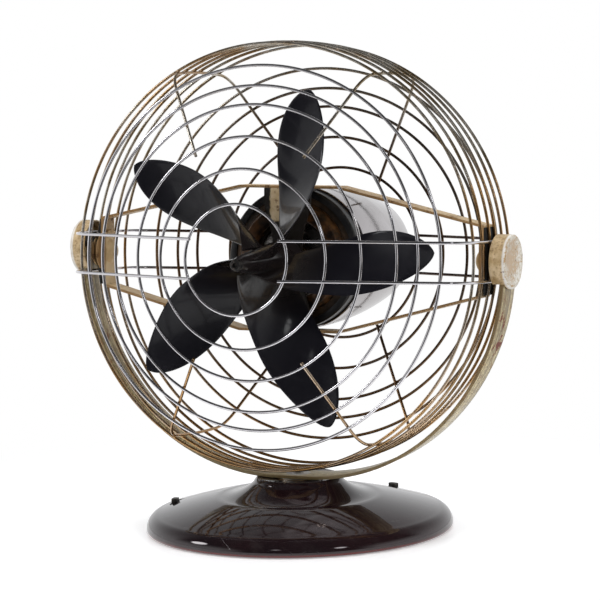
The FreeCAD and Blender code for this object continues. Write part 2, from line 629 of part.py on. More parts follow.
def build_fan():
    hub_points = [vector(SHAFT_RADIUS, HUB_BACK_Y, 0), vector(15.0, HUB_BACK_Y, 0),
                  (vector(12.0, -50.0, 0), vector(6.4, -95.0, 0)),
                  vector(SHAFT_RADIUS, HUB_FRONT_Y, 0)]
    shape = revolved(hub_points, Y_AXIS)
    sections = [blade_section(radius) for radius in (6.0, 28.0, 54.0, 80.0, 102.0, 118.0, 125.0, 129.0, 130.7)]
    blade = Part.makeLoft(sections, True, False)
    for index in range(BLADE_COUNT):
        turned = blade.copy()
        turned.rotate(ORIGIN, Y_AXIS, -(BLADE_PHASE + 360.0 / BLADE_COUNT * index))
        shape = shape.fuse(turned)
    bore = Part.makeCylinder(SHAFT_RADIUS, 140, vector(0, -130, 0), Y_AXIS)
    front_trim = Part.makeBox(300, 40, 300, vector(-150, HUB_FRONT_Y - 40, -150))
    back_trim = Part.makeBox(300, 40, 300, vector(-150, HUB_BACK_Y, -150))
    shape = shape.cut(bore).cut(front_trim).cut(back_trim)
    save("propeller", placed_in_motor(shape.removeSplitter()))

    # Nose button that keeps the propeller on the shaft.
    points = [vector(0, HUB_FRONT_Y, 0), vector(NOSE_RADIUS, HUB_FRONT_Y, 0),
              vector(NOSE_RADIUS, HUB_FRONT_Y - 1.9, 0),
              vector(NOSE_RADIUS - 1.2, HUB_FRONT_Y - 3.1, 0), vector(0, HUB_FRONT_Y - 3.7, 0)]
    save("propeller_nose", placed_in_motor(revolved(points, Y_AXIS)))

    # Shaft with the rotor core pressed on it.
    shaft_back = 60.0
    rotor_front = STATOR_FRONT_Y + 0.5
    rotor_back = STATOR_FRONT_Y + STATOR_LENGTH - 0.5
    points = [vector(0, HUB_FRONT_Y, 0), vector(SHAFT_RADIUS, HUB_FRONT_Y, 0), vector(SHAFT_RADIUS, rotor_front, 0),
              vector(ROTOR_RADIUS, rotor_front, 0), vector(ROTOR_RADIUS, rotor_back, 0),
              vector(SHAFT_RADIUS, rotor_back, 0), vector(SHAFT_RADIUS, shaft_back, 0), vector(0, shaft_back, 0)]
    save("rotor_and_shaft", placed_in_motor(revolved(points, Y_AXIS)))


# ---- base --------------------------------------------------------------------------------
def base_outer():
    """Outer profile of the moulding, rim bottom to the seat in the dished neck."""
    return [vector(114.4, 0, BASE_EDGE_Z), (vector(116.0, 0, 1.4), vector(BASE_RADIUS, 0, BASE_WIDEST_Z)),
            (vector(114.0, 0, 10.4), vector(107.5, 0, 14.2)),
            (vector(86.0, 0, 20.2), vector(62.0, 0, 25.6)),
            (vector(43.5, 0, 29.9), vector(NECK_RADIUS, 0, NECK_Z)),
            (vector(32.8, 0, 38.5), vector(NECK_RIM_RADIUS, 0, NECK_RIM_Z)),
            vector(NECK_SEAT_RADIUS, 0, NECK_SEAT_Z), vector(NECK_SEAT_RADIUS, 0, BASE_TOP_Z)]


def base_inner():
    """Underside of the moulding, neck to rim, about 4 mm inside the outer profile."""
    return [vector(22.0, 0, 23.0), vector(22.0, 0, 30.5), vector(31.0, 0, 30.5), vector(60.5, 0, 21.4),
            vector(104.5, 0, 10.6), vector(109.3, 0, 6.0), vector(109.3, 0, BASE_EDGE_Z)]


def lever_angle(sign):
    return BASE_REAR_ANGLE + sign * LEVER_SPREAD


def lever_slot():
    """Curved slot through the shoulder, in the frame of a lever whose arm points to +X."""
    inner = LEVER_REACH - TAB_DEPTH / 2 - SLOT_GAP
    outer = LEVER_REACH + TAB_DEPTH / 2 + SLOT_GAP
    half = LEVER_SWING + math.degrees(math.atan2(TAB_WIDTH / 2 + SLOT_GAP, inner))
    ring = tube(outer, inner, vector(0, 0, 5), 30, Z_AXIS)
    far = 60.0
    wedge = extruded([ORIGIN, polar(far, -half), vector(far * 1.5, 0, 0), polar(far, half)], vector(0, 0, 50))
    return ring.common(wedge)


def at_lever(shape, sign):
    """From a lever's own frame, pivot at the origin, to its place in the base."""
    moved = shape.copy()
    moved.translate(vector(LEVER_PIVOT_RADIUS, 0, 0))
    moved.rotate(ORIGIN, Z_AXIS, lever_angle(sign))
    return moved


def build_base():
    neck_bottom = 23.0
    neck = [vector(NECK_BORE, 0, BASE_TOP_Z), vector(NECK_BORE, 0, neck_bottom)]
    shell = revolved(base_outer() + neck + base_inner(), Z_AXIS)
    plate_top = PAD_THICKNESS + PLATE_THICKNESS
    boss_radius = 4.5
    boss_place = 88.0
    screw_radius = 1.6
    boss_angles = [BASE_REAR_ANGLE + 30 + 120 * index for index in range(3)]
    for angle in boss_angles:
        boss = Part.makeCylinder(boss_radius, 16.5 - plate_top, polar(boss_place, angle, plate_top))
        hole = Part.makeCylinder(screw_radius, 9.0, polar(boss_place, angle, plate_top))
        shell = shell.fuse(boss).cut(hole)
    for sign in (1, -1):
        shell = shell.cut(at_lever(lever_slot(), sign))
    inlet = Part.makeCylinder(GROMMET_RADIUS, 14, polar(104, BASE_REAR_ANGLE, GROMMET_Z), polar(1, BASE_REAR_ANGLE))
    shell = shell.cut(inlet)
    save("base_shell", shell)

    plate = Part.makeCylinder(109.0, PLATE_THICKNESS, vector(0, 0, PAD_THICKNESS))
    for angle in boss_angles:
        plate = plate.cut(Part.makeCylinder(screw_radius, 5, polar(boss_place, angle, 0)))
    save("base_plate", plate)
    save("base_pad", Part.makeCylinder(PAD_RADIUS, PAD_THICKNESS))

    # Rubber grommet pushed into the cord inlet from outside, its flange against the rim.
    inner_end = 105.0
    points = [vector(GROMMET_BORE, 0, inner_end), vector(GROMMET_RADIUS, 0, inner_end),
              vector(GROMMET_RADIUS, 0, BASE_RADIUS), vector(GROMMET_RADIUS + 2.0, 0, BASE_RADIUS),
              vector(GROMMET_RADIUS + 1.2, 0, BASE_RADIUS + 2.4), vector(GROMMET_BORE, 0, BASE_RADIUS + 2.4)]
    grommet = revolved(points, Z_AXIS)
    grommet.rotate(ORIGIN, Y_AXIS, 90)
    grommet.rotate(ORIGIN, Z_AXIS, BASE_REAR_ANGLE)
    grommet.translate(vector(0, 0, GROMMET_Z))
    save("cord_grommet", grommet)

    # Switches on the plate, each with the post that its lever turns on.
    lever_z = 8.6
    for name, sign in (("speed", 1), ("power", -1)):
        body = Part.makeBox(22, 18, lever_z - plate_top, vector(-12, -9, plate_top))
        post = Part.makeCylinder(2.2, 4.0, vector(0, 0, lever_z))
        save("switch_" + name, at_lever(body.fuse(post).removeSplitter(), sign))
        arm_half = 3.0
        arm_bottom = lever_z + 0.1
        arm = Part.makeBox(LEVER_REACH, 2 * arm_half, 1.8, vector(0, -arm_half, arm_bottom))
        eye = Part.makeCylinder(5.0, 1.8, vector(0, 0, arm_bottom))
        tab = Part.makeBox(TAB_DEPTH, TAB_WIDTH, TAB_TOP_Z - arm_bottom,
                           vector(LEVER_REACH - TAB_DEPTH / 2, -TAB_WIDTH / 2, arm_bottom))
        lever = arm.fuse(eye).fuse(tab)
        lever = lever.cut(Part.makeCylinder(2.2 + RUNNING_GAP, 10, vector(0, 0, lever_z - 2)))
        save("lever_" + name, at_lever(lever.removeSplitter(), sign))


os.makedirs("parts", exist_ok=True)
build_base()
build_swivel()
build_yoke()
build_guard()
build_ribs()
build_carrier()
build_motor()
build_fan()
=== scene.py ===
import math

import bmesh
import bpy
from mathutils import Matrix, Vector


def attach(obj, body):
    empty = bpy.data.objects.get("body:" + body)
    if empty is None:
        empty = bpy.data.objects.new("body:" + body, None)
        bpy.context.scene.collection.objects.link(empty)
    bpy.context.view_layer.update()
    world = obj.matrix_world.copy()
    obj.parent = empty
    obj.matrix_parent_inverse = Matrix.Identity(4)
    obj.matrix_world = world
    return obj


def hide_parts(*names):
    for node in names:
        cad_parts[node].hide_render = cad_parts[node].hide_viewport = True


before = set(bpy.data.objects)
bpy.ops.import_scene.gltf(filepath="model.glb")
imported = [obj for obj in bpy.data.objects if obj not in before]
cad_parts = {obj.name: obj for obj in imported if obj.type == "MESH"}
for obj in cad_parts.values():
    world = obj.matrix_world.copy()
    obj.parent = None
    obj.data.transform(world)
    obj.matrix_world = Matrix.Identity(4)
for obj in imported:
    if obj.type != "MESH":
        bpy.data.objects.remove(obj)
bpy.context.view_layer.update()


# ---- studio ----
# A long lens looks a little down from the right. A white sweep keeps a soft shadow, three
# softboxes light it, and what is polished mirrors a room: white at its sides and back, dark
# in front and above, with small windows.
CAMERA_TARGET = Vector((0.0, 0.0, 0.208))
CAMERA_DISTANCE = 2.60405
CAMERA_AZIMUTH = math.radians(23.7075)
CAMERA_ELEVATION = math.radians(7.0652)
CAMERA_ROLL = math.radians(-1.5322)
FRAME_PIXELS = 600
FOCAL_PIXELS = 3459.93
TARGET_PIXEL = (293.99, 255.64)
SENSOR_WIDTH = 36.0
FLOOR_HALF = 4.0
FLOOR_DROP = 0.0003
SHADOW_FADE = (0.14, 0.42)
WHITE = (1.0, 1.0, 1.0, 1.0)
RIGHT = Vector((math.cos(CAMERA_AZIMUTH), math.sin(CAMERA_AZIMUTH), 0.0))
FRONT = Vector((math.sin(CAMERA_AZIMUTH), -math.cos(CAMERA_AZIMUTH), 0.0))
UP = Vector((0.0, 0.0, 1.0))
OFF_BACKDROP = (0.36, -0.92, 0.16)
ROOM_STRENGTH = 0.90
DARK_STRENGTH = 0.06
SOFT_STRENGTH = 0.42
WINDOW_EDGE = (0.9925, 0.9965)
# Direction and strength of each window.
WINDOWS = (((0.07, -0.90, 0.42), 3.5), ((0.74, -0.52, 0.42), 7.0), ((-0.80, -0.40, 0.45), 10.0))
# Place, size and power of each softbox.
SOFTBOXES = {"softbox_left": ((-1.5, -1.3, 1.5), 1.2, 26.0), "softbox_right": ((2.0, -0.9, 1.3), 1.3, 26.0),
             "softbox_top": ((0.1, 0.3, 2.1), 1.5, 20.0)}


class Shade:
    """One node output; Python arithmetic on it adds Math nodes to its own tree."""

    def __init__(self, nodes, output):
        self.nodes = nodes
        self.output = output

    def maths(self, operation, first, second):
        return self.nodes.node("ShaderNodeMath", {"operation": operation}, {0: first, 1: second})

    def __add__(self, other):
        return self.maths("ADD", self, other)

    def __radd__(self, other):
        return self.maths("ADD", other, self)

    def __sub__(self, other):
        return self.maths("SUBTRACT", self, other)

    def __rsub__(self, other):
        return self.maths("SUBTRACT", other, self)

    def __mul__(self, other):
        return self.maths("MULTIPLY", self, other)

    def __rmul__(self, other):
        return self.maths("MULTIPLY", other, self)

    def __abs__(self):
        return self.maths("ABSOLUTE", self, 0.0)

    def least(self, other):
        return self.maths("MINIMUM", self, other)

    def most(self, other):
        return self.maths("MAXIMUM", self, other)

    def step(self, low, high):
        """0 at low, 1 at high, eased between them; low may be the larger."""
        return self.nodes.node(
            "ShaderNodeMapRange", {"interpolation_type": "SMOOTHSTEP"},
            {"Value": self, "From Min": low, "From Max": high})


class Nodes:
    """Builds one node tree: a finish, the studio's light or a piece's geometry."""

    def __init__(self, tree):
        self.tree = tree
        self.tree.nodes.clear()

    def node(self, kind, settings=None, values=None, output=0):
        made = self.tree.nodes.new(kind)
        for name, value in (settings or {}).items():
            setattr(made, name, value)
        for name, value in (values or {}).items():
            if isinstance(value, Shade):
                self.tree.links.new(value.output, made.inputs[name])
            else:
                made.inputs[name].default_value = value
        return Shade(self, made.outputs[output])

    def vectors(self, operation, first, second, output="Value"):
        return self.node("ShaderNodeVectorMath", {"operation": operation}, {0: first, 1: second}, output)

    def blend(self, share, first, second):
        """Shader first where share is 0, second where it is 1."""
        return self.node("ShaderNodeMixShader", values={0: share, 1: first, 2: second})

    def end(self, kind, result, socket="Surface"):
        self.tree.links.new(result.output, self.tree.nodes.new(kind).inputs[socket])


class Finish(Nodes):
    """A material and the few textures that every finish here is mixed from."""

    def __init__(self, name, place=None):
        self.material = bpy.data.materials.new(name)
        self.material.use_nodes = True
        super().__init__(self.material.node_tree)
        self.point = self.node("ShaderNodeTexCoord", output="Object")
        if place is not None:
            back = place.inverted()
            self.point = self.node("ShaderNodeMapping", values={
                "Vector": self.point, "Location": back.to_translation(), "Rotation": back.to_euler()})

    def stretched(self, x, y, z):
        """The surface's own coordinates, multiplied along each axis."""
        return self.vectors("MULTIPLY", self.point, (x, y, z), "Vector")

    def along(self, axis):
        return self.node("ShaderNodeSeparateXYZ", values={"Vector": self.point}, output=axis)

    def noise(self, scale, detail=3.0, rough=0.55, vector=None):
        values = {"Vector": vector or self.point, "Scale": scale, "Detail": detail, "Roughness": rough}
        return self.node("ShaderNodeTexNoise", values=values, output="Fac")

    def flecks(self, scale):
        """Distance to the nearest of many scattered points."""
        values = {"Vector": self.point, "Scale": scale}
        return self.node("ShaderNodeTexVoronoi", values=values, output="Distance")

    def distance(self, place, vector=None):
        """How far the surface lies from a place."""
        return self.vectors("DISTANCE", vector or self.point, place)

    def mix(self, share, first, second):
        """Colour first where share is 0, second where it is 1."""
        first, second = (c if isinstance(c, Shade) else (*c, 1.0) for c in (first, second))
        return self.node("ShaderNodeMix", {"data_type": "RGBA"}, {0: share, 6: first, 7: second}, 2)

    def bump(self, height, depth, strength=1.0):
        return self.node("ShaderNodeBump", values={"Height": height, "Distance": depth, "Strength": strength})

    def paint(self, share, colour):
        """Lays a colour over what is there, where share is above 0."""
        self.colour = self.mix(share, self.colour, colour)

    def surface(self, **values):
        given = {name.replace("_", " "): value for name, value in values.items()}
        shader = self.node("ShaderNodeBsdfPrincipled", values={"Base Color": self.colour, **given})
        self.end("ShaderNodeOutputMaterial", shader)
        return self.material


def linked(name, data):
    made = bpy.data.objects.new(name, data)
    bpy.context.scene.collection.objects.link(made)
    return made


def make_camera():
    back = FRONT * math.cos(CAMERA_ELEVATION) + UP * math.sin(CAMERA_ELEVATION)
    aimed = Matrix((RIGHT, back.cross(RIGHT), back))
    middle = FRAME_PIXELS / 2
    yaw = math.atan2(TARGET_PIXEL[0] - middle, FOCAL_PIXELS)
    pitch = math.atan2(middle - TARGET_PIXEL[1], FOCAL_PIXELS)
    swung = (Matrix.Rotation(-CAMERA_ROLL, 3, "Z") @ Matrix.Rotation(pitch, 3, "X")
             @ Matrix.Rotation(-yaw, 3, "Y") @ aimed)
    data = bpy.data.cameras.new("camera")
    data.sensor_width = SENSOR_WIDTH
    data.lens = FOCAL_PIXELS / FRAME_PIXELS * SENSOR_WIDTH
    data.clip_start, data.clip_end = 0.05, 50.0
    camera = linked("camera", data)
    stand = Matrix.Translation(CAMERA_TARGET + back * CAMERA_DISTANCE)
    camera.matrix_world = stand @ swung.transposed().to_4x4()
    bpy.context.scene.camera = camera


def make_light():
    world = bpy.data.worlds.new("studio")
    bpy.context.scene.world = world
    world.use_nodes = True
    air = Nodes(world.node_tree)
    seen = air.node("ShaderNodeLightPath", output="Is Camera Ray")
    mirrored = air.node("ShaderNodeLightPath", output="Is Glossy Ray")
    direction = air.node("ShaderNodeTexCoord", output="Generated")

    def towards(way):
        return air.vectors("DOT_PRODUCT", direction, way)

    height = towards(UP)
    sides = abs(towards(RIGHT)).step(0.62, 0.92) * height.step(0.50, 0.10)
    behind = towards(OFF_BACKDROP).step(0.0, -0.30) * height.step(0.90, 0.05)
    strength = DARK_STRENGTH + sides.most(behind) * ROOM_STRENGTH
    for way, power in WINDOWS:
        strength = strength + towards(way).step(*WINDOW_EDGE) * power
    room, soft, white = (air.node("ShaderNodeBackground", values={"Color": colour, "Strength": power})
                         for colour, power in (((0.98, 0.99, 1.0, 1.0), strength),
                                               ((0.97, 0.985, 1.0, 1.0), SOFT_STRENGTH), (WHITE, 1.0)))
    air.end("ShaderNodeOutputWorld", air.blend(seen, air.blend(mirrored, soft, room), white))

    for name, (place, size, power) in SOFTBOXES.items():
        data = bpy.data.lights.new(name, "AREA")
        data.size = size
        data.energy = power
        lamp = linked(name, data)
        lamp.visible_glossy = False
        lamp.location = place
        lamp.rotation_euler = (CAMERA_TARGET - Vector(place)).to_track_quat("-Z", "Y").to_euler()


def make_floor():
    """Paper that takes a shadow near the fan and runs out into plain white."""
    mesh = bpy.data.meshes.new("floor")
    corners = [(x * FLOOR_HALF, y * FLOOR_HALF, -FLOOR_DROP) for x, y in ((-1, -1), (1, -1), (1, 1), (-1, 1))]
    mesh.from_pydata(corners, [], [(0, 1, 2, 3)])
    sweep = Finish("white_sweep")
    paper = sweep.node("ShaderNodeBsdfPrincipled", values={
        "Base Color": (0.86, 0.86, 0.87, 1.0), "Roughness": 0.33, "Specular IOR Level": 0.25})
    dark, glow, white = (sweep.node("ShaderNodeEmission", values={"Color": WHITE, "Strength": strength})
                         for strength in (0.0, 0.30, 1.0))
    seen, mirrored, through = (sweep.node("ShaderNodeLightPath", output=ray)
                               for ray in ("Is Camera Ray", "Is Glossy Ray", "Is Transmission Ray"))
    shown = seen.most(mirrored).most(through)
    near = sweep.node("ShaderNodeAddShader", values={0: paper, 1: sweep.blend(shown, dark, glow)})
    dimmed = sweep.vectors("DOT_PRODUCT", sweep.point, FRONT).step(0.33, 0.45) * 0.74 + 0.18
    far = sweep.blend(mirrored * dimmed, white, dark)
    beyond = sweep.distance((0.0, 0.0, 0.0)).step(*SHADOW_FADE)
    sweep.end("ShaderNodeOutputMaterial", sweep.blend(beyond * shown, near, far))
    mesh.materials.append(sweep.material)
    linked("floor", mesh)


bpy.context.scene.view_settings.view_transform = "Standard"
make_camera()
make_light()
make_floor()


# ---- base moulding ----
# One thick-walled phenolic moulding, very dark maroon and glossy, compression moulded and
# buffed. Two curved slots at the rear let the switch levers through its shoulder.
LEVER_PLACE = 0.0735
LEVER_ANGLES = {"speed": 187.0, "power": 66.0}
SLOT_INNER, SLOT_OUTER = 0.0232, 0.0288
SLOT_BOTTOM, SLOT_TOP = 0.012, 0.040
SLOT_HALF_ANGLE = 24.5
SLOT_STEPS = 12
INLET_ANGLE = 126.5
INLET_START = 0.104
INLET_HEIGHT = 0.0076
INLET_RADIUS = 0.0040
INLET_LENGTH = 0.014
BASE_SEGMENTS = 300
BASE_CREASE, TURNED_CREASE = 30.0, 38.0
SAME_PLACE = 1e-7
FOOT_TOP, FOOT_BOTTOM = 0.0036, 0.0014
CHIP_PLACE = (0.0506, -0.0751, 0.0190)
CRACK_PLACE = (-0.0105, -0.1142, 0.0090)
CRACK_SLOPE = math.radians(61.64)


def round_through(start, via, end, steps):
    """Points of the arc from start (left out) to end that passes through via."""
    (ax, ay), (bx, by), (cx, cy) = start, via, end
    twice = 2 * (ax * (by - cy) + bx * (cy - ay) + cx * (ay - by))
    a2, b2, c2 = ax * ax + ay * ay, bx * bx + by * by, cx * cx + cy * cy
    ox = (a2 * (by - cy) + b2 * (cy - ay) + c2 * (ay - by)) / twice
    oy = (a2 * (cx - bx) + b2 * (ax - cx) + c2 * (bx - ax)) / twice
    radius = math.hypot(ax - ox, ay - oy)
    first = math.atan2(ay - oy, ax - ox)
    last = math.atan2(cy - oy, cx - ox)
    if twice > 0 and last < first:
        last += 2 * math.pi
    if twice < 0 and last > first:
        last -= 2 * math.pi
    angles = [first + (last - first) * (step + 1) / steps for step in range(steps)]
    return [(ox + radius * math.cos(a), oy + radius * math.sin(a)) for a in angles]


def smoothed(mesh, crease):
    """Shades a mesh smooth but for edges that turn more than crease degrees."""
    mesh.shade_smooth()
    mesh.set_sharp_from_angle(angle=math.radians(crease))
    return mesh


def as_mesh(shape, name, crease):
    mesh = bpy.data.meshes.new(name)
    shape.to_mesh(mesh)
    shape.free()
    return smoothed(mesh, crease)


def turned(name, profile, segments, place=Matrix.Identity(4), closed=True):
    """Turns (radius, height) points about Z, then moves the result by place."""
    shape = bmesh.new()
    columns = []
    for index in range(segments):
        angle = 2 * math.pi * index / segments
        cos, sin = math.cos(angle), math.sin(angle)
        columns.append([shape.verts.new((r * cos, r * sin, h)) for r, h in profile])
    rows = len(profile)
    for index in range(segments):
        here, there = columns[index], columns[(index + 1) % segments]
        for row in range(rows if closed else rows - 1):
            following = (row + 1) % rows
            if profile[row][0] > 0 or profile[following][0] > 0:
                shape.faces.new((here[row], there[row], there[following], here[following]))
    bmesh.ops.remove_doubles(shape, verts=shape.verts, dist=SAME_PLACE)
    bmesh.ops.dissolve_degenerate(shape, edges=shape.edges, dist=SAME_PLACE)
    bmesh.ops.recalc_face_normals(shape, faces=shape.faces)
    shape.transform(place)
    return as_mesh(shape, name, TURNED_CREASE)


def plug(name, radius, length, segments, place):
    """A plain round cutter."""
    profile = [(0.0, 0.0), (radius, 0.0), (radius, length), (0.0, length)]
    return turned(name, profile, segments, place, closed=False)


def fitted(name, mesh, material, body, slot, *nodes):
    """Links a finished mesh as a piece that rides on its body."""
    mesh.materials.clear()
    mesh.materials.append(material)
    piece = linked(name, mesh)
    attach(piece, body)
    if nodes:
        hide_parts(*nodes)


def phenolic():
    f = Finish("phenolic_maroon")
    swirl = f.noise(14.0, 4.0, 0.6).step(0.35, 0.75)
    f.colour = f.mix(swirl, (0.0074, 0.0037, 0.0050), (0.0135, 0.0051, 0.0062))
    foot = f.along("Z").step(FOOT_TOP, FOOT_BOTTOM)
    f.paint(foot * 0.85, (0.150, 0.012, 0.010))
    dust = f.noise(60.0, 6.0, 0.7).step(0.50, 0.85) * f.noise(7.0, 2.0).step(0.40, 0.75)
    f.paint(dust * 0.06, (0.42, 0.38, 0.35))
    chip = f.distance(CHIP_PLACE).step(0.0042, 0.0022) * f.noise(700.0).step(0.50, 0.58)
    f.paint(chip * 0.8, (0.30, 0.24, 0.22))
    aside = (f.along("X") - CRACK_PLACE[0]) * math.cos(CRACK_SLOPE) + (f.noise(260.0, 2.0) - 0.5) * 0.004
    aside = aside + (f.along("Z") - CRACK_PLACE[2]) * math.sin(CRACK_SLOPE)
    crack = abs(aside).step(0.0006, 0.0003) * f.distance(CRACK_PLACE).step(0.0064, 0.0052)
    hairs = abs(f.noise(13.0, 2.0, 0.5) - 0.5).step(0.0045, 0.0015) * f.noise(6.0).step(0.50, 0.62)
    scratch = f.noise(1.0, 2.0, 0.5, f.stretched(35.0, 900.0, 500.0)).step(0.70, 0.74).most(hairs)
    specks = f.flecks(260.0).step(0.12, 0.06) * f.noise(9.0).step(0.45, 0.60)
    roughness = 0.055 + dust * 0.12 + scratch * 0.10 + specks * 0.15
    wave = f.noise(11.0, 1.0, 0.4)
    fine = wave * 3.0 + f.noise(60.0, 2.0, 0.4) * 0.25 - scratch * 0.25
    fine = fine - specks * 0.2 - chip * 1.2 - crack * 3.0
    return f.surface(Roughness=roughness, Normal=f.bump(fine, 0.00022, 0.6),
                     IOR=1.60, Specular_Tint=(1.0, 0.93, 0.945, 1.0))


def base_profile():
    """Up the outside of the moulding, over the dished neck and back down the inside."""
    points = [(0.1140, 0.0004)]
    for via, end, steps in (((0.1159, 0.0014), (0.1166, 0.0032), 8),
                            ((0.1140, 0.0104), (0.1075, 0.0142), 14),
                            ((0.0860, 0.0202), (0.0620, 0.0256), 16),
                            ((0.0435, 0.0299), (0.0343, 0.0362), 14),
                            ((0.0329, 0.0386), (0.0317, 0.0400), 6),
                            ((0.0312, 0.0402), (0.0306, 0.0401), 4)):
        points += round_through(points[-1], via, end, steps)
    points += [(0.0185, 0.0393), (0.0185, 0.0380), (0.0120, 0.0380), (0.0120, 0.0230), (0.0220, 0.0230)]
    points += [(0.0220, 0.0305), (0.0310, 0.0305), (0.0605, 0.0214), (0.1045, 0.0106), (0.1093, 0.0060)]
    return points + [(0.1093, 0.0004)]


def slot_cutter(lever_angle):
    """A curved bar that cuts the way of one lever's tab."""
    shape = bmesh.new()
    corners = ((SLOT_INNER, SLOT_BOTTOM), (SLOT_OUTER, SLOT_BOTTOM),
               (SLOT_OUTER, SLOT_TOP), (SLOT_INNER, SLOT_TOP))
    rings = []
    for step in range(SLOT_STEPS + 1):
        angle = math.radians(SLOT_HALF_ANGLE * (2 * step / SLOT_STEPS - 1))
        rings.append([shape.verts.new((r * math.cos(angle), r * math.sin(angle), z)) for r, z in corners])
    for here, there in zip(rings, rings[1:]):
        for side in range(4):
            shape.faces.new((here[side], here[(side + 1) % 4], there[(side + 1) % 4], there[side]))
    shape.faces.new(rings[0])
    shape.faces.new(rings[-1])
    bmesh.ops.recalc_face_normals(shape, faces=shape.faces)
    shape.transform(Matrix.Translation((LEVER_PLACE, 0.0, 0.0)))
    shape.transform(Matrix.Rotation(math.radians(lever_angle), 4, "Z"))
    return as_mesh(shape, "slot_cutter", TURNED_CREASE)


def evaluated(holder):
    """The mesh that an object's modifiers make of it."""
    bpy.context.view_layer.update()
    return bpy.data.meshes.new_from_object(holder.evaluated_get(bpy.context.evaluated_depsgraph_get()))


def cut_by(mesh, cutters):
    """The mesh with each cutter's volume taken out of it."""
    block = linked("block", mesh)
    tools = [linked("cutter", cutter) for cutter in cutters]
    for tool in tools:
        cut = block.modifiers.new("cut", "BOOLEAN")
        cut.operation = "DIFFERENCE"
        cut.object = tool
    result = evaluated(block)
    for used in [block] + tools:
        bpy.data.objects.remove(used)
    return result


def make_base():
    inlet_place = (Matrix.Rotation(math.radians(INLET_ANGLE), 4, "Z")
                   @ Matrix.Translation((INLET_START, 0.0, INLET_HEIGHT))
                   @ Matrix.Rotation(math.pi / 2, 4, "Y"))
    cutters = [slot_cutter(angle) for angle in LEVER_ANGLES.values()]
    cutters.append(plug("inlet_cutter", INLET_RADIUS, INLET_LENGTH, 32, inlet_place))
    mesh = cut_by(turned("base_moulding", base_profile(), BASE_SEGMENTS), cutters)
    smoothed(mesh, BASE_CREASE)
    fitted("base_moulding", mesh, phenolic(), "base", "base_moulding", "base_shell")


make_base()


# ---- base underside ----
# A pressed steel plate, holed for three screws, closes the base, and a thin red-brown wool
# felt is glued over it. A rubber grommet lines the cord inlet.


def from_solid(node, bevel, crease):
    """A merged copy of a CAD node's mesh with its sharp edges rounded a little."""
    shape = bmesh.new()
    shape.from_mesh(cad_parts[node].data)
    bmesh.ops.remove_doubles(shape, verts=shape.verts, dist=1e-6)
    bmesh.ops.dissolve_limit(shape, angle_limit=math.radians(0.4), verts=shape.verts, edges=shape.edges)
    limit = math.radians(crease)
    sharp = [edge for edge in shape.edges if len(edge.link_faces) == 2 and edge.calc_face_angle() > limit]
    bmesh.ops.bevel(shape, geom=sharp, offset=bevel, offset_type="OFFSET", segments=2, profile=0.6,
                    affect="EDGES", clamp_overlap=True)
    return as_mesh(shape, node, crease)


def dressed(name, node, bevel, material, body, slot, crease=35.0):
    """Stands for a node with the solid's own shape, its edges rounded and its finish on."""
    fitted(name, from_solid(node, bevel, crease), material, body, slot, node)


def felt():
    f = Finish("felt_red_brown")
    tufts = f.noise(700.0, 6.0, 0.75)
    f.colour = f.mix(tufts.step(0.3, 0.7), (0.085, 0.018, 0.016), (0.22, 0.050, 0.042))
    worn = f.noise(16.0, 3.0).step(0.55, 0.8)
    f.paint(worn * 0.5, (0.06, 0.035, 0.03))
    return f.surface(Roughness=0.95, Sheen_Weight=0.35, Normal=f.bump(tufts, 0.0006))


def black_rubber(name, grey):
    f = Finish(name)
    bloom = f.noise(38.0, 5.0, 0.65).step(0.42, 0.8)
    f.colour = f.mix(bloom * 0.5, (grey, grey, grey), (grey * 3.2, grey * 3.0, grey * 2.8))
    grain = f.noise(1500.0, 3.0, 0.6)
    return f.surface(Roughness=0.55 + bloom * 0.25, Normal=f.bump(grain, 0.00006))


def black_paint():
    f = Finish("black_paint")
    dust = f.noise(26.0, 5.0, 0.7).step(0.45, 0.85)
    chips = f.noise(130.0, 4.0, 0.7).step(0.70, 0.73)
    f.colour = f.mix(dust * 0.35, (0.012, 0.012, 0.013), (0.15, 0.13, 0.11))
    f.paint(chips * 0.7, (0.20, 0.11, 0.06))
    peel = f.noise(420.0, 2.0, 0.5)
    return f.surface(Roughness=0.32 + dust * 0.4, Normal=f.bump(peel - chips * 2.0, 0.00005))


def bright_steel(name, tint, dull):
    """Plated or ground steel with fine marks, dulled in patches."""
    f = Finish(name)
    film = f.noise(55.0, 5.0, 0.65).step(0.40, 0.75)
    brown = f.noise(90.0, 5.0, 0.7).step(0.62, 0.72)
    f.colour = f.mix(film * 0.4, tint, tuple(c * 0.55 for c in tint))
    f.paint(brown * 0.6, (0.16, 0.08, 0.035))
    marks = f.noise(1.0, 3.0, 0.6, f.stretched(2500.0, 300.0, 2500.0))
    return f.surface(Metallic=1.0 - brown * 0.6, Roughness=dull + film * 0.2 + brown * 0.3,
                     Normal=f.bump(marks, 0.00003))


def make_underside():
    dressed("felt_pad", "base_pad", 0.0003, felt(), "base", "base_felt")
    dressed("bottom_plate", "base_plate", 0.0003, black_paint(), "base", "base_plate_steel")
    rubber = black_rubber("grommet_rubber", 0.02)
    dressed("inlet_grommet", "cord_grommet", 0.0004, rubber, "base", "grommet_rubber")


make_underside()


# ---- switches and levers ----
# Two slider switches sit on the bottom plate, in dark phenolic blocks. Each turns on a post
# with a blackened steel lever, whose upright tab comes out through the slot.


def brown_block():
    f = Finish("switch_block")
    flow = f.noise(120.0, 4.0, 0.6)
    f.colour = f.mix(flow.step(0.35, 0.7), (0.035, 0.020, 0.014), (0.085, 0.048, 0.030))
    return f.surface(Roughness=0.42, Normal=f.bump(flow, 0.00006))


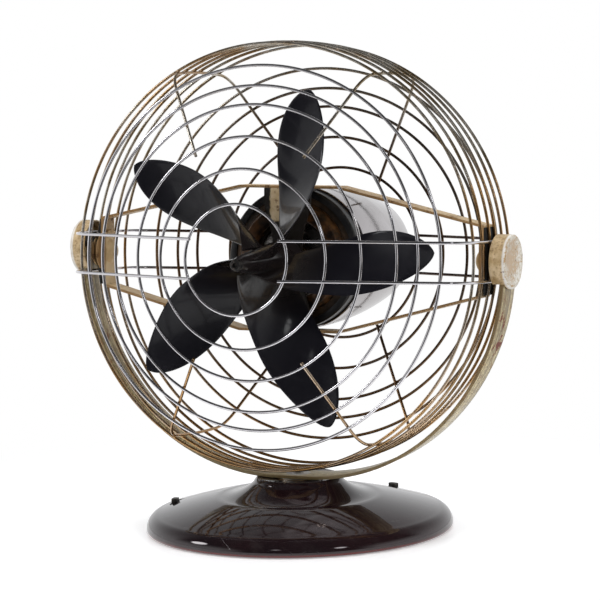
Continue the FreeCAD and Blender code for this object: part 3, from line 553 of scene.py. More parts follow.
def blackened_steel():
    f = Finish("blackened_steel")
    rub = f.noise(240.0, 4.0, 0.65).step(0.56, 0.70)
    height = f.along("Z").step(0.0175, 0.0196)
    bare = (rub * 0.5 + height * 0.5).least(1.0)
    f.colour = f.mix(bare * 0.45, (0.030, 0.027, 0.025), (0.30, 0.27, 0.24))
    return f.surface(Metallic=0.8, Roughness=0.46 - bare * 0.12,
                     Normal=f.bump(f.noise(900.0), 0.00004))


def make_levers():
    block, lever = brown_block(), blackened_steel()
    for name in LEVER_ANGLES:
        dressed("switch_block_" + name, "switch_" + name, 0.0004, block, "base", "switch_body")
        dressed("switch_lever_" + name, "lever_" + name, 0.00035, lever, "lever_" + name, "lever_steel")


make_levers()


# ---- swivel ----
# A bronze bushing is pressed into the neck. The hollow stem is flared into the yoke's
# landing, turns in the bushing on a friction washer, and a nut holds it from below.


def oiled_bronze():
    f = Finish("oiled_bronze")
    stain = f.noise(110.0, 5.0, 0.7).step(0.35, 0.7)
    f.colour = f.mix(stain, (0.50, 0.33, 0.15), (0.16, 0.10, 0.05))
    pores = f.flecks(1400.0).step(0.25, 0.05)
    return f.surface(Metallic=0.95, Roughness=0.34 + stain * 0.2,
                     Normal=f.bump(1.0 - pores, 0.00004))


def make_swivel():
    dressed("neck_bush", "neck_bushing", 0.0003, oiled_bronze(), "base", "bearing_bronze")
    steel = bright_steel("zinc_steel", (0.46, 0.44, 0.41), 0.32)
    for name, node in (("friction_washer", "washer"), ("flared_stem", "stem"), ("stem_nut", "nut")):
        dressed(name, "swivel_" + node, 0.0002, steel, "yoke", "swivel_steel")


make_swivel()


# ---- yoke ----
# One strip of mild steel, rolled into a U, rounded at its ends and sprayed with a pale
# champagne enamel that has gone streaky and rusted through in specks.
PIVOT_HEIGHT = 0.208
YOKE_HALF_WIDTH = 0.013
ARM_INNER_X = 0.1722
# Height above which the arms' inner faces are painted near black as shade.
INNER_SHADE_HEIGHT = 0.2110
RUST_PLACE = (0.158, 0.0, 0.152)


def champagne_enamel():
    f = Finish("champagne_enamel")
    height = f.along("Z")
    across = abs(f.along("Y"))
    streaks = f.noise(1.0, 5.0, 0.65, f.stretched(7.0, 560.0, 7.0))
    threads = f.noise(1.0, 3.0, 0.6, f.stretched(22.0, 1500.0, 22.0))
    f.colour = f.mix(streaks.step(0.43, 0.54), (0.120, 0.080, 0.028), (0.68, 0.56, 0.285))
    cloud = f.noise(24.0, 4.0, 0.6).step(0.35, 0.70)
    f.paint(cloud * 0.3, (0.44, 0.38, 0.24))
    f.paint(threads.step(0.54, 0.62) * 0.65, (0.150, 0.105, 0.048))
    mottle = f.noise(240.0, 5.0, 0.75)
    f.paint(mottle.step(0.49, 0.55) * 0.70, (0.20, 0.130, 0.050))
    ragged = across + f.noise(160.0, 3.0) * 0.0022
    edge = ragged.step(YOKE_HALF_WIDTH - 0.0004, YOKE_HALF_WIDTH + 0.0010)
    f.paint(edge * 0.8, (0.19, 0.125, 0.055))
    speck_noise = f.noise(125.0, 4.0, 0.62, f.stretched(0.8, 1.0, 0.8))
    where = f.noise(17.0, 2.0, 0.5).step(0.46, 0.62) * height.step(0.045, 0.10)
    where = where.most(f.distance(RUST_PLACE).step(0.036, 0.014))
    halo = speck_noise.step(0.53, 0.60) * where
    speck = speck_noise.step(0.575, 0.600) * where
    f.paint(halo * 0.65, (0.30, 0.165, 0.065))
    f.paint(speck, (0.145, 0.020, 0.005))
    # Painted shade: the inner faces of the arms above the pivots are painted near black, for the shade
    # between the arms and the guard.
    inside = abs(f.along("X")).step(ARM_INNER_X, ARM_INNER_X - 0.0002)
    inner_shade = inside * height.step(INNER_SHADE_HEIGHT, INNER_SHADE_HEIGHT + 0.0015)
    f.paint(inner_shade, (0.012, 0.011, 0.011))
    low = height.step(0.080, 0.040)
    f.paint(low * 0.45, (0.235, 0.185, 0.095))
    rough = 0.32 + cloud * 0.14 + halo * 0.3
    relief = streaks * 0.5 + threads * 0.35 - speck * 0.9 - edge * 0.4
    return f.surface(Metallic=0.12 - speck * 0.12, Roughness=rough,
                     Normal=f.bump(relief, 0.00016, 0.8), Coat_Weight=0.06, Coat_Roughness=0.25)


def make_yoke():
    dressed("yoke_strip", "yoke_band", 0.0005, champagne_enamel(), "yoke", "yoke_enamel")


make_yoke()


# ---- pivot caps ----
# Shallow drawn caps hide the pivot nuts. The tan gold enamel has worn to pale primer round
# the raised rim and across the face, with a darker patch in the middle and rust at nicks.
LEFT_CAP_SHIFT = Vector((-0.0012, 0.0, 0.0035))
CAP_FACE_X = 0.1766
WORN_RADIUS = 0.0120
WORN_CENTRE = (0.0, -0.0045, 0.0010)


def cap_enamel(side, shift):
    f = Finish("cap_enamel_" + side, Matrix.Translation(Vector((0.0, 0.0, PIVOT_HEIGHT)) + shift))
    radius = f.distance(WORN_CENTRE, f.stretched(0.0, 1.0, 1.0))
    depth = abs(f.along("X"))
    face = depth.step(CAP_FACE_X - 0.0020, CAP_FACE_X - 0.0009)
    fine = f.noise(150.0, 5.0, 0.7)
    broad = f.noise(42.0, 3.0, 0.6)
    f.colour = f.mix(fine.step(0.32, 0.66), (0.42, 0.285, 0.135), (0.64, 0.49, 0.30))
    f.paint(broad.step(0.50, 0.66) * 0.6, (0.33, 0.205, 0.070))
    grit = f.noise(430.0, 4.0, 0.7)
    ragged = radius + (broad - 0.5) * 0.022 + (fine - 0.5) * 0.044 + (grit - 0.5) * 0.060
    worn = face * ragged.step(WORN_RADIUS - 0.0007, WORN_RADIUS + 0.0007)
    f.paint(face * (1.0 - worn) * 0.90, (0.40, 0.220, 0.058))
    f.paint(worn, (0.66, 0.63, 0.57))
    f.paint(grit.step(0.50, 0.58) * worn * 0.75, (0.40, 0.30, 0.165))
    f.paint(grit.step(0.52, 0.62) * (1.0 - worn) * 0.65, (0.22, 0.125, 0.045))
    crown = depth.step(CAP_FACE_X - 0.0031, CAP_FACE_X - 0.0016) * depth.step(CAP_FACE_X, CAP_FACE_X - 0.0014)
    f.paint(crown * 0.8, (0.80, 0.78, 0.74))
    nick = f.noise(230.0, 4.0, 0.65).step(0.645, 0.675)
    f.paint(nick * 0.9, (0.13, 0.055, 0.022))
    rough = 0.42 + worn * 0.16 + nick * 0.25
    relief = fine * 0.7 - worn * 0.5 - nick * 1.2
    return f.surface(Metallic=0.15 * (1.0 - worn), Roughness=rough,
                     Normal=f.bump(relief, 0.00022, 0.9))


def make_caps():
    for side, shift in (("right", Vector()), ("left", LEFT_CAP_SHIFT)):
        enamel = cap_enamel(side, shift)
        dressed("drawn_cap_" + side, "pivot_cap_" + side, 0.0004, enamel, "yoke", "cap_enamel")


make_caps()


# ---- wire guard ----
# Seventeen rings of plated steel wire, butt welded and spot welded to eight bent ribs. The
# front is still bright, and the rim and the back have tarnished brown and gold; towards the
# back every wire is also painted much darker, near black.
GUARD_TILT = math.radians(5.4)
WIRE_RADIUS = 0.00112
WIRE_SIDES = 14
RING_STEPS = 220
BEND_STEPS = 9
CAGE_RADIUS = 0.1606
RIM_BULGE = 0.460
SHOULDER_Y = 0.052
DOME_RISE = 0.052
FRONT_RINGS = (0.0405, 0.0660, 0.0895, 0.1130, 0.1270, 0.1420)
BACK_RINGS = (0.0660, 0.0895, 0.1130, 0.1270, 0.1420)
RIM_RINGS = (-0.037, -0.021, -0.006, 0.006, 0.021, 0.037)
WELD_PITCH = 0.00208
WELD_INWARD, WELD_OUTWARD = 0.30, 0.35
BEAD_RADIUS = 0.00135
RIB_BEND = 0.025
RIB_RIM_POINTS = (-0.034, -0.023, -0.012, 0.0, 0.012, 0.023, 0.034)
SIDE_RIB_HEIGHT = 0.0145
SIDE_RIB_ENDS = (0.035, 0.061)
CROSS_RIB_ANGLE = math.radians(60.0)
CROSS_RIB_ENDS = (0.086, 0.0625)

SHOULDER_RADIUS = CAGE_RADIUS - SHOULDER_Y ** 2 / (2 * RIM_BULGE)
DOME_SLOPE = DOME_RISE / (SHOULDER_RADIUS - FRONT_RINGS[0])
guard_place = Matrix.Translation((0.0, 0.0, PIVOT_HEIGHT)) @ Matrix.Rotation(-GUARD_TILT, 4, "X")


def dome_y(radius):
    return SHOULDER_Y + (SHOULDER_RADIUS - radius) * DOME_SLOPE


def rim_radius(y):
    return CAGE_RADIUS - y ** 2 / (2 * RIM_BULGE)


class Recipe(Nodes):
    """A geometry tree with named inputs, run on one object at a time."""

    def __init__(self, name, inputs):
        tree = bpy.data.node_groups.new(name, "GeometryNodeTree")
        super().__init__(tree)
        tree.interface.new_socket("Geometry", in_out="OUTPUT", socket_type="NodeSocketGeometry")
        self.keys = {}
        for title, kind in [("Geometry", "Geometry")] + inputs + [("Material", "Material")]:
            made = tree.interface.new_socket(title, in_out="INPUT", socket_type="NodeSocket" + kind)
            self.keys[title] = made.identifier
        self.inputs = tree.nodes.new("NodeGroupInput").outputs

    def given(self, title):
        return Shade(self, self.inputs[title])

    def close(self, geometry):
        smooth = self.node("GeometryNodeSetShadeSmooth", values={"Geometry": geometry})
        real = self.node("GeometryNodeRealizeInstances", values={"Geometry": smooth})
        painted = self.node("GeometryNodeSetMaterial", values={
            "Geometry": real, "Material": self.given("Material")})
        self.end("NodeGroupOutput", painted, 0)
        return self

    def run(self, name, source, material, values):
        """The plain mesh that the tree makes from source."""
        holder = linked(name, source)
        made = holder.modifiers.new("recipe", "NODES")
        made.node_group = self.tree
        made[self.keys["Material"]] = material
        for title, value in values.items():
            made[self.keys[title]] = value
        mesh = evaluated(holder)
        bpy.data.objects.remove(holder)
        mesh.name = name
        return mesh

    def wire(self, line, **caps):
        """Round wire of the given radius along a curve."""
        section = self.node("GeometryNodeCurvePrimitiveCircle", {"mode": "RADIUS"}, {
            "Resolution": WIRE_SIDES, "Radius": self.given("Wire Radius")})
        return self.node("GeometryNodeCurveToMesh", values={"Curve": line, "Profile Curve": section, **caps})


def ring_recipe():
    """One ring of round wire about Y, leaned and lifted into the guard."""
    r = Recipe("wire_ring", [("Ring Radius", "Float"), ("Wire Radius", "Float"), ("Steps", "Int"),
                             ("Place", "Vector"), ("Turn", "Rotation")])
    line = r.node("GeometryNodeCurvePrimitiveCircle", {"mode": "RADIUS"}, {
        "Resolution": r.given("Steps"), "Radius": r.given("Ring Radius")})
    return r.close(r.node("GeometryNodeTransform", values={
        "Geometry": r.wire(line), "Translation": r.given("Place"), "Rotation": r.given("Turn")}))


def rib_recipe():
    """Round wire along a path, with its corners bent to a radius."""
    r = Recipe("bent_wire", [("Bend Radius", "Float"), ("Wire Radius", "Float")])
    bent = r.node("GeometryNodeFilletCurve", {"mode": "POLY"}, {
        "Curve": r.given("Geometry"), "Count": BEND_STEPS, "Radius": r.given("Bend Radius"),
        "Limit Radius": True})
    return r.close(r.wire(bent, **{"Fill Caps": True}))


def bead_recipe():
    """A small flattened bead at each point, turned at random."""
    r = Recipe("weld_beads", [("Bead Radius", "Float")])
    bead = r.node("GeometryNodeMeshIcoSphere", values={"Radius": r.given("Bead Radius"), "Subdivisions": 2})
    turn = r.node("FunctionNodeRandomValue", {"data_type": "FLOAT_VECTOR"},
                  {0: (0.0, 0.0, 0.0), 1: (math.tau, math.tau, math.tau), "Seed": 7})
    beads = r.node("GeometryNodeInstanceOnPoints", values={
        "Points": r.given("Geometry"), "Instance": bead, "Rotation": turn, "Scale": (1.0, 0.85, 1.1)})
    return r.close(beads)


def front_chrome():
    f = Finish("front_chrome", guard_place)
    dull = f.noise(48.0, 4.0, 0.6).step(0.52, 0.74)
    warm = f.noise(15.0, 3.0, 0.6).step(0.50, 0.75)
    pits = f.noise(420.0, 4.0, 0.7).step(0.69, 0.72)
    f.colour = f.mix(dull * 0.4, (0.74, 0.725, 0.755), (0.50, 0.475, 0.47))
    f.paint(warm * 0.25, (0.50, 0.41, 0.28))
    # Darker towards the back of the guard: the far side is painted a near black brown.
    behind = f.along("Y").step(0.044, 0.070)
    f.paint(behind * 0.9, (0.095, 0.052, 0.028))
    f.paint(pits * 0.6, (0.16, 0.10, 0.06))
    return f.surface(Metallic=1.0, Roughness=0.05 + dull * 0.10 + pits * 0.2 + behind * 0.22,
                     Normal=f.bump(dull * 0.3 - pits * 0.5, 0.00003))


def tarnished_plate():
    f = Finish("tarnished_plate", guard_place)
    patch = f.noise(34.0, 5.0, 0.62)
    bronze = f.noise(11.0, 3.0, 0.55)
    low = f.along("Z").step(0.03, -0.13)
    back = f.along("Y").step(0.045, 0.075)
    f.colour = f.mix(patch.step(0.36, 0.58), (0.34, 0.26, 0.155), (0.64, 0.60, 0.53))
    brown = (bronze.step(0.47, 0.60) * 0.75 + low * 0.60).least(0.9)
    f.paint(brown, (0.42, 0.225, 0.075))
    # Darker towards the back of the guard: the far side is painted a near black brown.
    f.paint(back * 0.85, (0.080, 0.045, 0.026))
    rust = f.noise(150.0, 5.0, 0.7).step(0.58, 0.67)
    f.paint(rust * 0.7, (0.10, 0.042, 0.016))
    return f.surface(Metallic=0.95 - rust * 0.6, Roughness=0.08 + patch * 0.12 + rust * 0.3,
                     Normal=f.bump(patch * 0.4 - rust * 0.5, 0.00004))


def point_cloud(name, points):
    mesh = bpy.data.meshes.new(name)
    mesh.from_pydata(points, [], [])
    return mesh


def rib_points(offset, front_end, back_end):
    """Sharp-cornered rib line in (radius, y), offset outside (+) or inside (-) the rings."""
    dome_angle = math.atan(DOME_SLOPE)
    rim_angle = SHOULDER_Y / RIM_BULGE
    half_turn = (math.pi / 2 - dome_angle - rim_angle) / 2
    reach = offset / math.cos(half_turn)
    lean = rim_angle + half_turn
    corner = (SHOULDER_RADIUS + reach * math.cos(lean), SHOULDER_Y + reach * math.sin(lean))

    def on_dome(radius):
        return (radius, corner[1] + (corner[0] - radius) * DOME_SLOPE)

    rim = [(rim_radius(y) + offset, y) for y in RIB_RIM_POINTS]
    front, front_corner = on_dome(front_end), (corner[0], -corner[1])
    return [(front[0], -front[1]), front_corner] + rim + [corner, on_dome(back_end)]


def rib_curve(name, points):
    line = bpy.data.curves.new(name, "CURVE")
    line.dimensions = "3D"
    spline = line.splines.new("POLY")
    spline.points.add(len(points) - 1)
    for place, point in zip(spline.points, points):
        place.co = (*point, 1.0)
    return line


def guard_rings():
    """Name, radius, y and kind of wire of every ring."""
    for index, radius in enumerate(FRONT_RINGS):
        yield "front_ring_%d" % (index + 1), radius, -dome_y(radius), "bright"
    for index, radius in enumerate(BACK_RINGS):
        yield "back_ring_%d" % (index + 1), radius, dome_y(radius), "tarnished"
    for index, y in enumerate(RIM_RINGS):
        yield "rim_ring_%d" % (index + 1), rim_radius(y), y, "tarnished"


def guard_ribs():
    """Name, kind of wire, offset, direction, height, ends and last open front ring of every rib."""
    for side, sign in (("right", 1.0), ("left", -1.0)):
        for level, up in (("upper", 1.0), ("lower", -1.0)):
            yield ("side_rib_%s_%s" % (side, level), "bright", WELD_PITCH, Vector((sign, 0.0, 0.0)),
                   up * SIDE_RIB_HEIGHT, SIDE_RIB_ENDS, FRONT_RINGS[0])
            outward = Vector((sign * math.cos(CROSS_RIB_ANGLE), 0.0, up * math.sin(CROSS_RIB_ANGLE)))
            yield ("cross_rib_%s_%s" % (side, level), "tarnished", -WELD_PITCH, outward, 0.0,
                   CROSS_RIB_ENDS, FRONT_RINGS[1])


def make_guard():
    rings, ribs, beads = ring_recipe(), rib_recipe(), bead_recipe()
    wires = {"bright": (front_chrome(), "front_wire_chrome"),
             "tarnished": (tarnished_plate(), "rim_wire_plated")}
    welds = {kind: [] for kind in wires}
    turn = (math.pi / 2 - GUARD_TILT, 0.0, 0.0)
    for name, radius, y, kind in guard_rings():
        finish, slot = wires[kind]
        mesh = rings.run(name, point_cloud(name, []), finish, {
            "Ring Radius": radius, "Wire Radius": WIRE_RADIUS, "Steps": RING_STEPS,
            "Place": guard_place @ Vector((0.0, y, 0.0)), "Turn": turn})
        fitted(name, mesh, finish, "cage", slot, "guard_" + name)
    for name, kind, offset, outward, height, ends, open_ring in guard_ribs():
        finish, slot = wires[kind]
        drop = CAGE_RADIUS - math.sqrt(CAGE_RADIUS ** 2 - height ** 2)
        line = [guard_place @ (outward * (radius - drop) + Vector((0.0, y, height)))
                for radius, y in rib_points(offset, ends[0] + drop, ends[1] + drop)]
        mesh = ribs.run(name, rib_curve(name, line), finish,
                        {"Bend Radius": RIB_BEND + offset, "Wire Radius": WIRE_RADIUS})
        fitted(name, mesh, finish, "cage", slot, "guard_" + name)
        for ring, radius, y, _ in guard_rings():
            if radius > open_ring or y > 0:
                reach = math.sqrt(radius ** 2 - height ** 2) + offset * WELD_INWARD
                out = 0.0 if "rim" in ring else offset * WELD_OUTWARD * math.copysign(1.0, y)
                welds[kind].append(guard_place @ (outward * reach + Vector((0.0, y + out, height))))
    for kind, (finish, slot) in wires.items():
        name = "spot_welds_" + kind
        fitted(name, beads.run(name, point_cloud(name, welds[kind]), finish, {"Bead Radius": BEAD_RADIUS}),
               finish, "cage", slot)


make_guard()


# ---- straps and pivots ----
# Two flat strips of steel, bent over and under the motor, carry it between the pivots. They
# are clamped to the rim rings by round-headed studs through rubber pads and spacers.
MOTOR_TILT = math.radians(4.3)
MOTOR_DROP = 0.0018
STRAP_HALF_WIDTH = 0.00975
strap_place = Matrix.Translation((0.0, 0.0, PIVOT_HEIGHT)) @ Matrix.Rotation(-MOTOR_TILT, 4, "X")
motor_place = strap_place @ Matrix.Translation((0.0, 0.0, -MOTOR_DROP))


def tan_enamel():
    """Tan gold enamel on steel, browned at its edges and rusted in spots."""
    f = Finish("strap_enamel", strap_place)
    cloud = f.noise(30.0, 4.0, 0.6)
    f.colour = f.mix(cloud.step(0.32, 0.66), (0.42, 0.265, 0.110), (0.68, 0.51, 0.29))
    streak = f.noise(1.0, 4.0, 0.6, f.stretched(24.0, 620.0, 24.0))
    f.paint(streak.step(0.52, 0.72) * 0.5, (0.25, 0.155, 0.070))
    ragged = abs(f.along("Y")) + (f.noise(180.0) - 0.5) * 0.0020
    edge = ragged.step(STRAP_HALF_WIDTH - 0.0014, STRAP_HALF_WIDTH)
    f.paint(edge * 0.75, (0.26, 0.135, 0.048))
    rust = f.noise(105.0, 5.0, 0.68).step(0.585, 0.66)
    f.paint(rust * 0.8, (0.115, 0.048, 0.018))
    return f.surface(Metallic=0.25, Roughness=0.40 + cloud * 0.15 + rust * 0.25,
                     Normal=f.bump(cloud * 0.4 + streak * 0.4 - rust, 0.00016, 0.8))


def make_straps():
    enamel = tan_enamel()
    rubber = black_rubber("pad_rubber", 0.009)
    for level in ("upper", "lower"):
        dressed("carrier_" + level, "strap_" + level, 0.0004, enamel, "cage", "strap_enamel", crease=20.0)
    for side in ("right", "left"):
        dressed("rim_pad_" + side, "pivot_pad_" + side, 0.0005, rubber, "cage", "pad_rubber")
        dressed("flanged_spacer_" + side, "pivot_spacer_" + side, 0.0003, enamel, "cage", "stud_steel")
        dressed("headed_stud_" + side, "pivot_stud_" + side, 0.0003, enamel, "cage", "stud_steel")


make_straps()


# ---- motor ----
# A shaded-pole motor: laminated stator and its winding in a black front ring, a bright spun
# bell over the rear, and a pressed bridge across the mouth that holds the front bearing.
BELL_RADIUS = 0.0545
BELL_MOUTH_Y = 0.014
BELL_TAIL_Y = 0.1638
BELL_TAIL_RADIUS = 0.045
BELL_WALL = 0.0015
BELL_STEPS = 28
BELL_SEGMENTS = 220
BRIDGE_MIDDLE_X = -0.0045
BRIDGE_HALF_WIDTH = 0.0093
BRIDGE_TAB_Z = 0.0280
# Turned shapes are made about Z, with their height running back along the shaft.
shaft_place = motor_place @ Matrix.Rotation(-math.pi / 2, 4, "X")


def bell_line(shrink):
    """Mouth to tail: a long flank arc that runs into a round tail."""
    span = BELL_TAIL_Y - BELL_MOUTH_Y - BELL_TAIL_RADIUS
    squared = BELL_RADIUS ** 2 + span ** 2 - BELL_TAIL_RADIUS ** 2
    flank = squared / (2 * (BELL_RADIUS - BELL_TAIL_RADIUS))
    join = math.atan2(span, flank - BELL_RADIUS)
    points = []

    def add_arc(centre, radius, start, end, first_step):
        for step in range(first_step, BELL_STEPS + 1):
            angle = start + (end - start) * step / BELL_STEPS
            points.append((centre[0] + radius * math.cos(angle), centre[1] + radius * math.sin(angle)))

    add_arc((BELL_RADIUS - flank, BELL_MOUTH_Y), flank - shrink, 0.0, join, 0)
    add_arc((0.0, BELL_TAIL_Y - BELL_TAIL_RADIUS), BELL_TAIL_RADIUS - shrink, join, math.pi / 2, 1)
    points[-1] = (0.0, points[-1][1])
    return points


def spun_chrome():
    f = Finish("spun_chrome", motor_place)
    rings = f.noise(1.0, 2.0, 0.5, f.stretched(8.0, 900.0, 8.0))
    haze = f.noise(22.0, 4.0, 0.6).step(0.40, 0.75)
    pits = f.noise(330.0, 4.0, 0.7).step(0.69, 0.72)
    f.colour = f.mix(haze * 0.4, (0.43, 0.405, 0.41), (0.28, 0.255, 0.25))
    f.paint(pits * 0.8, (0.13, 0.09, 0.06))
    return f.surface(Metallic=1.0, Roughness=0.10 + haze * 0.10 + pits * 0.3,
                     Normal=f.bump(rings * 0.25 - pits * 0.6, 0.00005))


def laminations():
    f = Finish("laminations", motor_place)
    sheets = f.node("ShaderNodeTexWave", {"wave_type": "BANDS", "bands_direction": "Y"},
                    {"Vector": f.point, "Scale": 300.0, "Distortion": 0.5}, output="Fac")
    film = f.noise(60.0, 5.0, 0.65)
    f.colour = f.mix(film.step(0.35, 0.7), (0.025, 0.018, 0.013), (0.095, 0.058, 0.034))
    return f.surface(Metallic=0.5, Roughness=0.5, Normal=f.bump(sheets, 0.0002))


def varnished_copper():
    f = Finish("varnished_copper", motor_place)
    tone = f.noise(150.0, 4.0, 0.65)
    f.colour = f.mix(tone.step(0.35, 0.7), (0.010, 0.006, 0.004), (0.105, 0.044, 0.014))
    dust = f.noise(45.0, 4.0, 0.7).step(0.5, 0.8)
    f.paint(dust * 0.6, (0.016, 0.012, 0.009))
    return f.surface(Metallic=0.35, Roughness=0.35 + dust * 0.3, Coat_Weight=0.4,
                     Normal=f.bump(tone, 0.00008))


def bridge_paint():
    """Tan enamel on the tabs that show past the motor's mouth, painted near black between them as shade
    inside the mouth.
    """
    f = Finish("bridge_paint", motor_place)
    cloud = f.noise(60.0, 4.0, 0.65)
    f.colour = f.mix(cloud.step(0.32, 0.66), (0.37, 0.255, 0.125), (0.60, 0.48, 0.31))
    rust = f.noise(190.0, 5.0, 0.7).step(0.54, 0.63)
    f.paint(rust * 0.8, (0.115, 0.048, 0.018))
    ragged = (f.noise(240.0, 3.0) - 0.5) * 0.004
    ends = (abs(f.along("Z")) + ragged).step(BRIDGE_TAB_Z - 0.0010, BRIDGE_TAB_Z + 0.0010)
    middle = abs(f.along("X") - BRIDGE_MIDDLE_X) + ragged
    painted = ends * middle.step(BRIDGE_HALF_WIDTH + 0.0007, BRIDGE_HALF_WIDTH - 0.0007)
    # Painted shade: away from the tabs the bridge is painted near black, so that it sinks into the shade
    # inside the motor.
    f.colour = f.mix(painted, (0.012, 0.009, 0.007), f.colour)
    return f.surface(Metallic=0.2, Roughness=0.55 - painted * 0.12,
                     Normal=f.bump(cloud * 0.4 - rust, 0.00016, 0.8))


def make_motor():
    lip = [(BELL_RADIUS - BELL_WALL / 2, BELL_MOUTH_Y - 0.0003)]
    mesh = turned("bell", bell_line(0.0) + bell_line(BELL_WALL)[::-1] + lip, BELL_SEGMENTS, shaft_place)
    fitted("spun_bell", mesh, spun_chrome(), "cage", "bell_chrome", "motor_bell")
    black = black_paint()
    for name in ("front_ring", "rear_plate"):
        dressed("motor_case_" + name, "motor_" + name, 0.0004, black, "cage", "motor_black")
    dressed("stator_pack", "motor_stator", 0.0003, laminations(), "cage", "lamination_steel")
    dressed("front_bush", "motor_front_bearing", 0.0003, oiled_bronze(), "cage", "bearing_bronze")
    dressed("bearing_bridge", "motor_bridge", 0.0004, bridge_paint(), "cage", "strap_enamel")
    dressed("field_winding", "motor_coil", 0.0006, varnished_copper(), "cage", "winding_enamel")


make_motor()


# ---- propeller ----
# Five broad blades moulded in one with their long pointed hub, in black rubber, soft enough
# to be harmless. A blackened button on the shaft's end keeps it on.
BLADE_COUNT = 5
BLADE_PHASE = 4.0
BLADE_INNER = 0.0060
BLADE_TIP = 0.1310
BLADE_WIDEST = 0.0600
BLADE_CHORD = 0.0500
BLADE_ROOT_GROWTH = 0.0200
BLADE_ROOT_PITCH = 86.0
BLADE_SWEEP = 0.0500
BLADE_FORWARD = 0.0433
BLADE_ROOT_FORWARD = 0.0180
BLADE_THICKNESS = 0.0026
BLADE_EDGE = 0.0012
BLADE_CAMBER = 0.08
BLADE_TIP_POWER = 0.60
BLADE_PITCH_POWER = 1.45
BLADE_ROW_POWER = 1.4
BLADE_EDGE_ROUNDING = 2.4
BLADE_CREASE = 50.0
BLADE_ROWS = 56
BLADE_HALF_POINTS = 14
HUB_FRONT_Y = -0.1015
HUB_BACK_Y = -0.0150
HUB_BORE = 0.0040
HUB_BACK_RADIUS = 0.0150
BUTTON_RADIUS = 0.0046
BUTTON_LENGTH = 0.0037
NOTCH_COUNT = 4
NOTCH_PHASE = 35.0
NOTCH_RADIUS = 0.0009
NOTCH_LENGTH = 0.0026


def blade_skin(shape, turn):
    """One blade as a closed skin of rows round its section, root to tip."""
    rows = []
    for row in range(BLADE_ROWS + 1):
        outward = 1 - (1 - row / BLADE_ROWS) ** BLADE_ROW_POWER
        radius = BLADE_INNER + (BLADE_TIP - BLADE_INNER) * outward
        share = radius / BLADE_TIP
        taper = (radius - BLADE_WIDEST) / (BLADE_TIP - BLADE_WIDEST)
        if taper > 0:
            chord = BLADE_CHORD * max(1 - taper ** 2, 0.0004) ** BLADE_TIP_POWER
        else:
            chord = BLADE_CHORD + BLADE_ROOT_GROWTH * (1 - radius / BLADE_WIDEST) ** 2
        pitch = math.radians(BLADE_ROOT_PITCH * max(1 - share, 0.0) ** BLADE_PITCH_POWER)
        sweep = BLADE_SWEEP * share * (1 - share) ** 2
        forward = BLADE_FORWARD + BLADE_ROOT_FORWARD * (1 - share) ** 4
        centre = Vector((radius, -forward, -sweep))
        along = Vector((0.0, math.sin(pitch), math.cos(pitch)))
        normal = Vector((0.0, math.cos(pitch), -math.sin(pitch)))
        line = []
        for face in (1.0, -1.0):
            for step in range(BLADE_HALF_POINTS):
                place = -math.cos(math.pi * step / BLADE_HALF_POINTS) * face
                inward = max(1 - place * place, 0.0)
                bow = chord * BLADE_CAMBER * inward
                flat = BLADE_EDGE + (BLADE_THICKNESS - BLADE_EDGE) * inward
                half = flat / 2 * min(1.0, math.sqrt(inward) * BLADE_EDGE_ROUNDING)
                line.append(centre + along * (chord / 2 * place) + normal * (bow + half * face))
        rows.append([shape.verts.new(turn @ point) for point in line])
    around = len(rows[0])
    for here, there in zip(rows, rows[1:]):
        for step in range(around):
            following = (step + 1) % around
            shape.faces.new((here[step], here[following], there[following], there[step]))
    shape.faces.new(rows[0])
    shape.faces.new(rows[-1])


def moulded_rubber():
    f = Finish("moulded_rubber", motor_place)
    skin = f.noise(900.0, 4.0, 0.6)
    bloom = f.noise(26.0, 4.0, 0.6).step(0.42, 0.75)
    flow = f.noise(60.0, 3.0, 0.5)
    f.colour = f.mix(bloom * 0.5, (0.0055, 0.0052, 0.0080), (0.0115, 0.0108, 0.0150))
    root = f.distance((0.0, 0.0, 0.0), f.stretched(1.0, 0.0, 1.0)).step(0.055, 0.018)
    f.paint(root * 0.6, (0.014, 0.010, 0.008))
    grease = root * f.noise(48.0, 4.0, 0.65).step(0.40, 0.62)
    dust = f.noise(480.0, 3.0, 0.7).step(0.71, 0.76)
    f.paint(dust * 0.35, (0.16, 0.16, 0.17))
    rough = 0.40 + bloom * 0.08 - root * 0.16 + dust * 0.2
    gloss = 0.30 + bloom * 0.14 + grease * 0.45
    return f.surface(Roughness=rough, Specular_IOR_Level=0.15, Coat_Weight=gloss,
                     Coat_Roughness=0.11, Normal=f.bump(skin * 0.3 + flow * 1.8, 0.00012, 0.8))


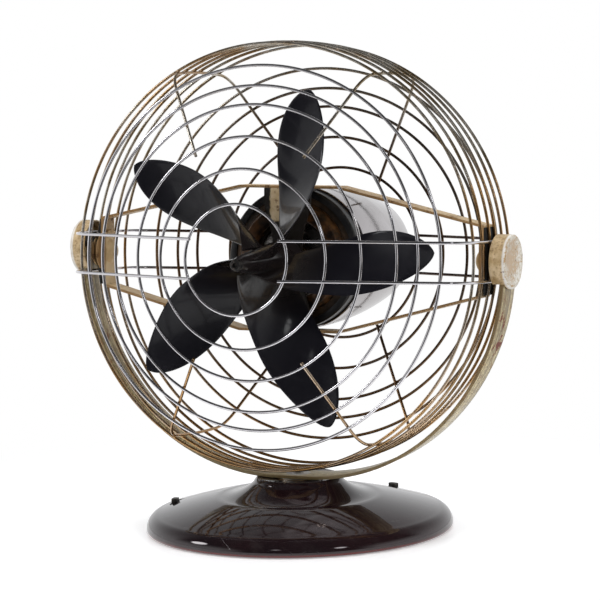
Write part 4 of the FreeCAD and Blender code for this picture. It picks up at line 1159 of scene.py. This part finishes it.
def nose_button():
    """The button, drilled in the middle and notched round its edge for a pin spanner."""
    front = HUB_FRONT_Y - BUTTON_LENGTH
    back = HUB_FRONT_Y + 0.0002
    profile = [(0.0, back), (BUTTON_RADIUS, back), (BUTTON_RADIUS, front + 0.0015), (0.0042, front + 0.0007),
               (0.0034, front), (0.0024, front), (0.0020, front + 0.0004), (0.0019, front + 0.0022),
               (0.0, front + 0.0022)]
    button = turned("nose_button", profile, 48, shaft_place, closed=False)
    notches = []
    for index in range(NOTCH_COUNT):
        turn = Matrix.Rotation(math.radians(NOTCH_PHASE + 360.0 / NOTCH_COUNT * index), 4, "Z")
        place = shaft_place @ turn @ Matrix.Translation((BUTTON_RADIUS, 0.0, front - 0.0005))
        notches.append(plug("notch_cutter", NOTCH_RADIUS, NOTCH_LENGTH, 16, place))
    return cut_by(button, notches)


def blackened_nose():
    f = Finish("blackened_nose", motor_place)
    grime = f.noise(420.0, 4.0, 0.7)
    f.colour = f.mix(grime.step(0.45, 0.70), (0.010, 0.009, 0.009), (0.060, 0.050, 0.042))
    return f.surface(Metallic=0.35, Roughness=0.42, Normal=f.bump(grime, 0.00012))


def make_propeller():
    shape = bmesh.new()
    for index in range(BLADE_COUNT):
        turn = Matrix.Rotation(-math.radians(BLADE_PHASE + 360.0 / BLADE_COUNT * index), 4, "Y")
        blade_skin(shape, motor_place @ turn)
    bmesh.ops.remove_doubles(shape, verts=shape.verts, dist=SAME_PLACE)
    bmesh.ops.recalc_face_normals(shape, faces=shape.faces)
    hub = [(HUB_BORE, HUB_BACK_Y), (HUB_BACK_RADIUS, HUB_BACK_Y)]
    hub += round_through(hub[-1], (0.0120, -0.050), (0.0064, -0.095), 18)
    hub.append((HUB_BORE, HUB_FRONT_Y))
    shape.from_mesh(turned("hub_core", hub, 64, shaft_place))
    mesh = as_mesh(shape, "propeller_moulding", BLADE_CREASE)
    fitted("propeller_moulding", mesh, moulded_rubber(), "fan", "propeller_rubber", "propeller")
    fitted("nose_button", nose_button(), blackened_nose(), "fan", "nose_metal", "propeller_nose")
    steel = bright_steel("ground_steel", (0.38, 0.36, 0.34), 0.25)
    dressed("shaft_and_core", "rotor_and_shaft", 0.0004, steel, "fan", "rotor_steel")


make_propeller()
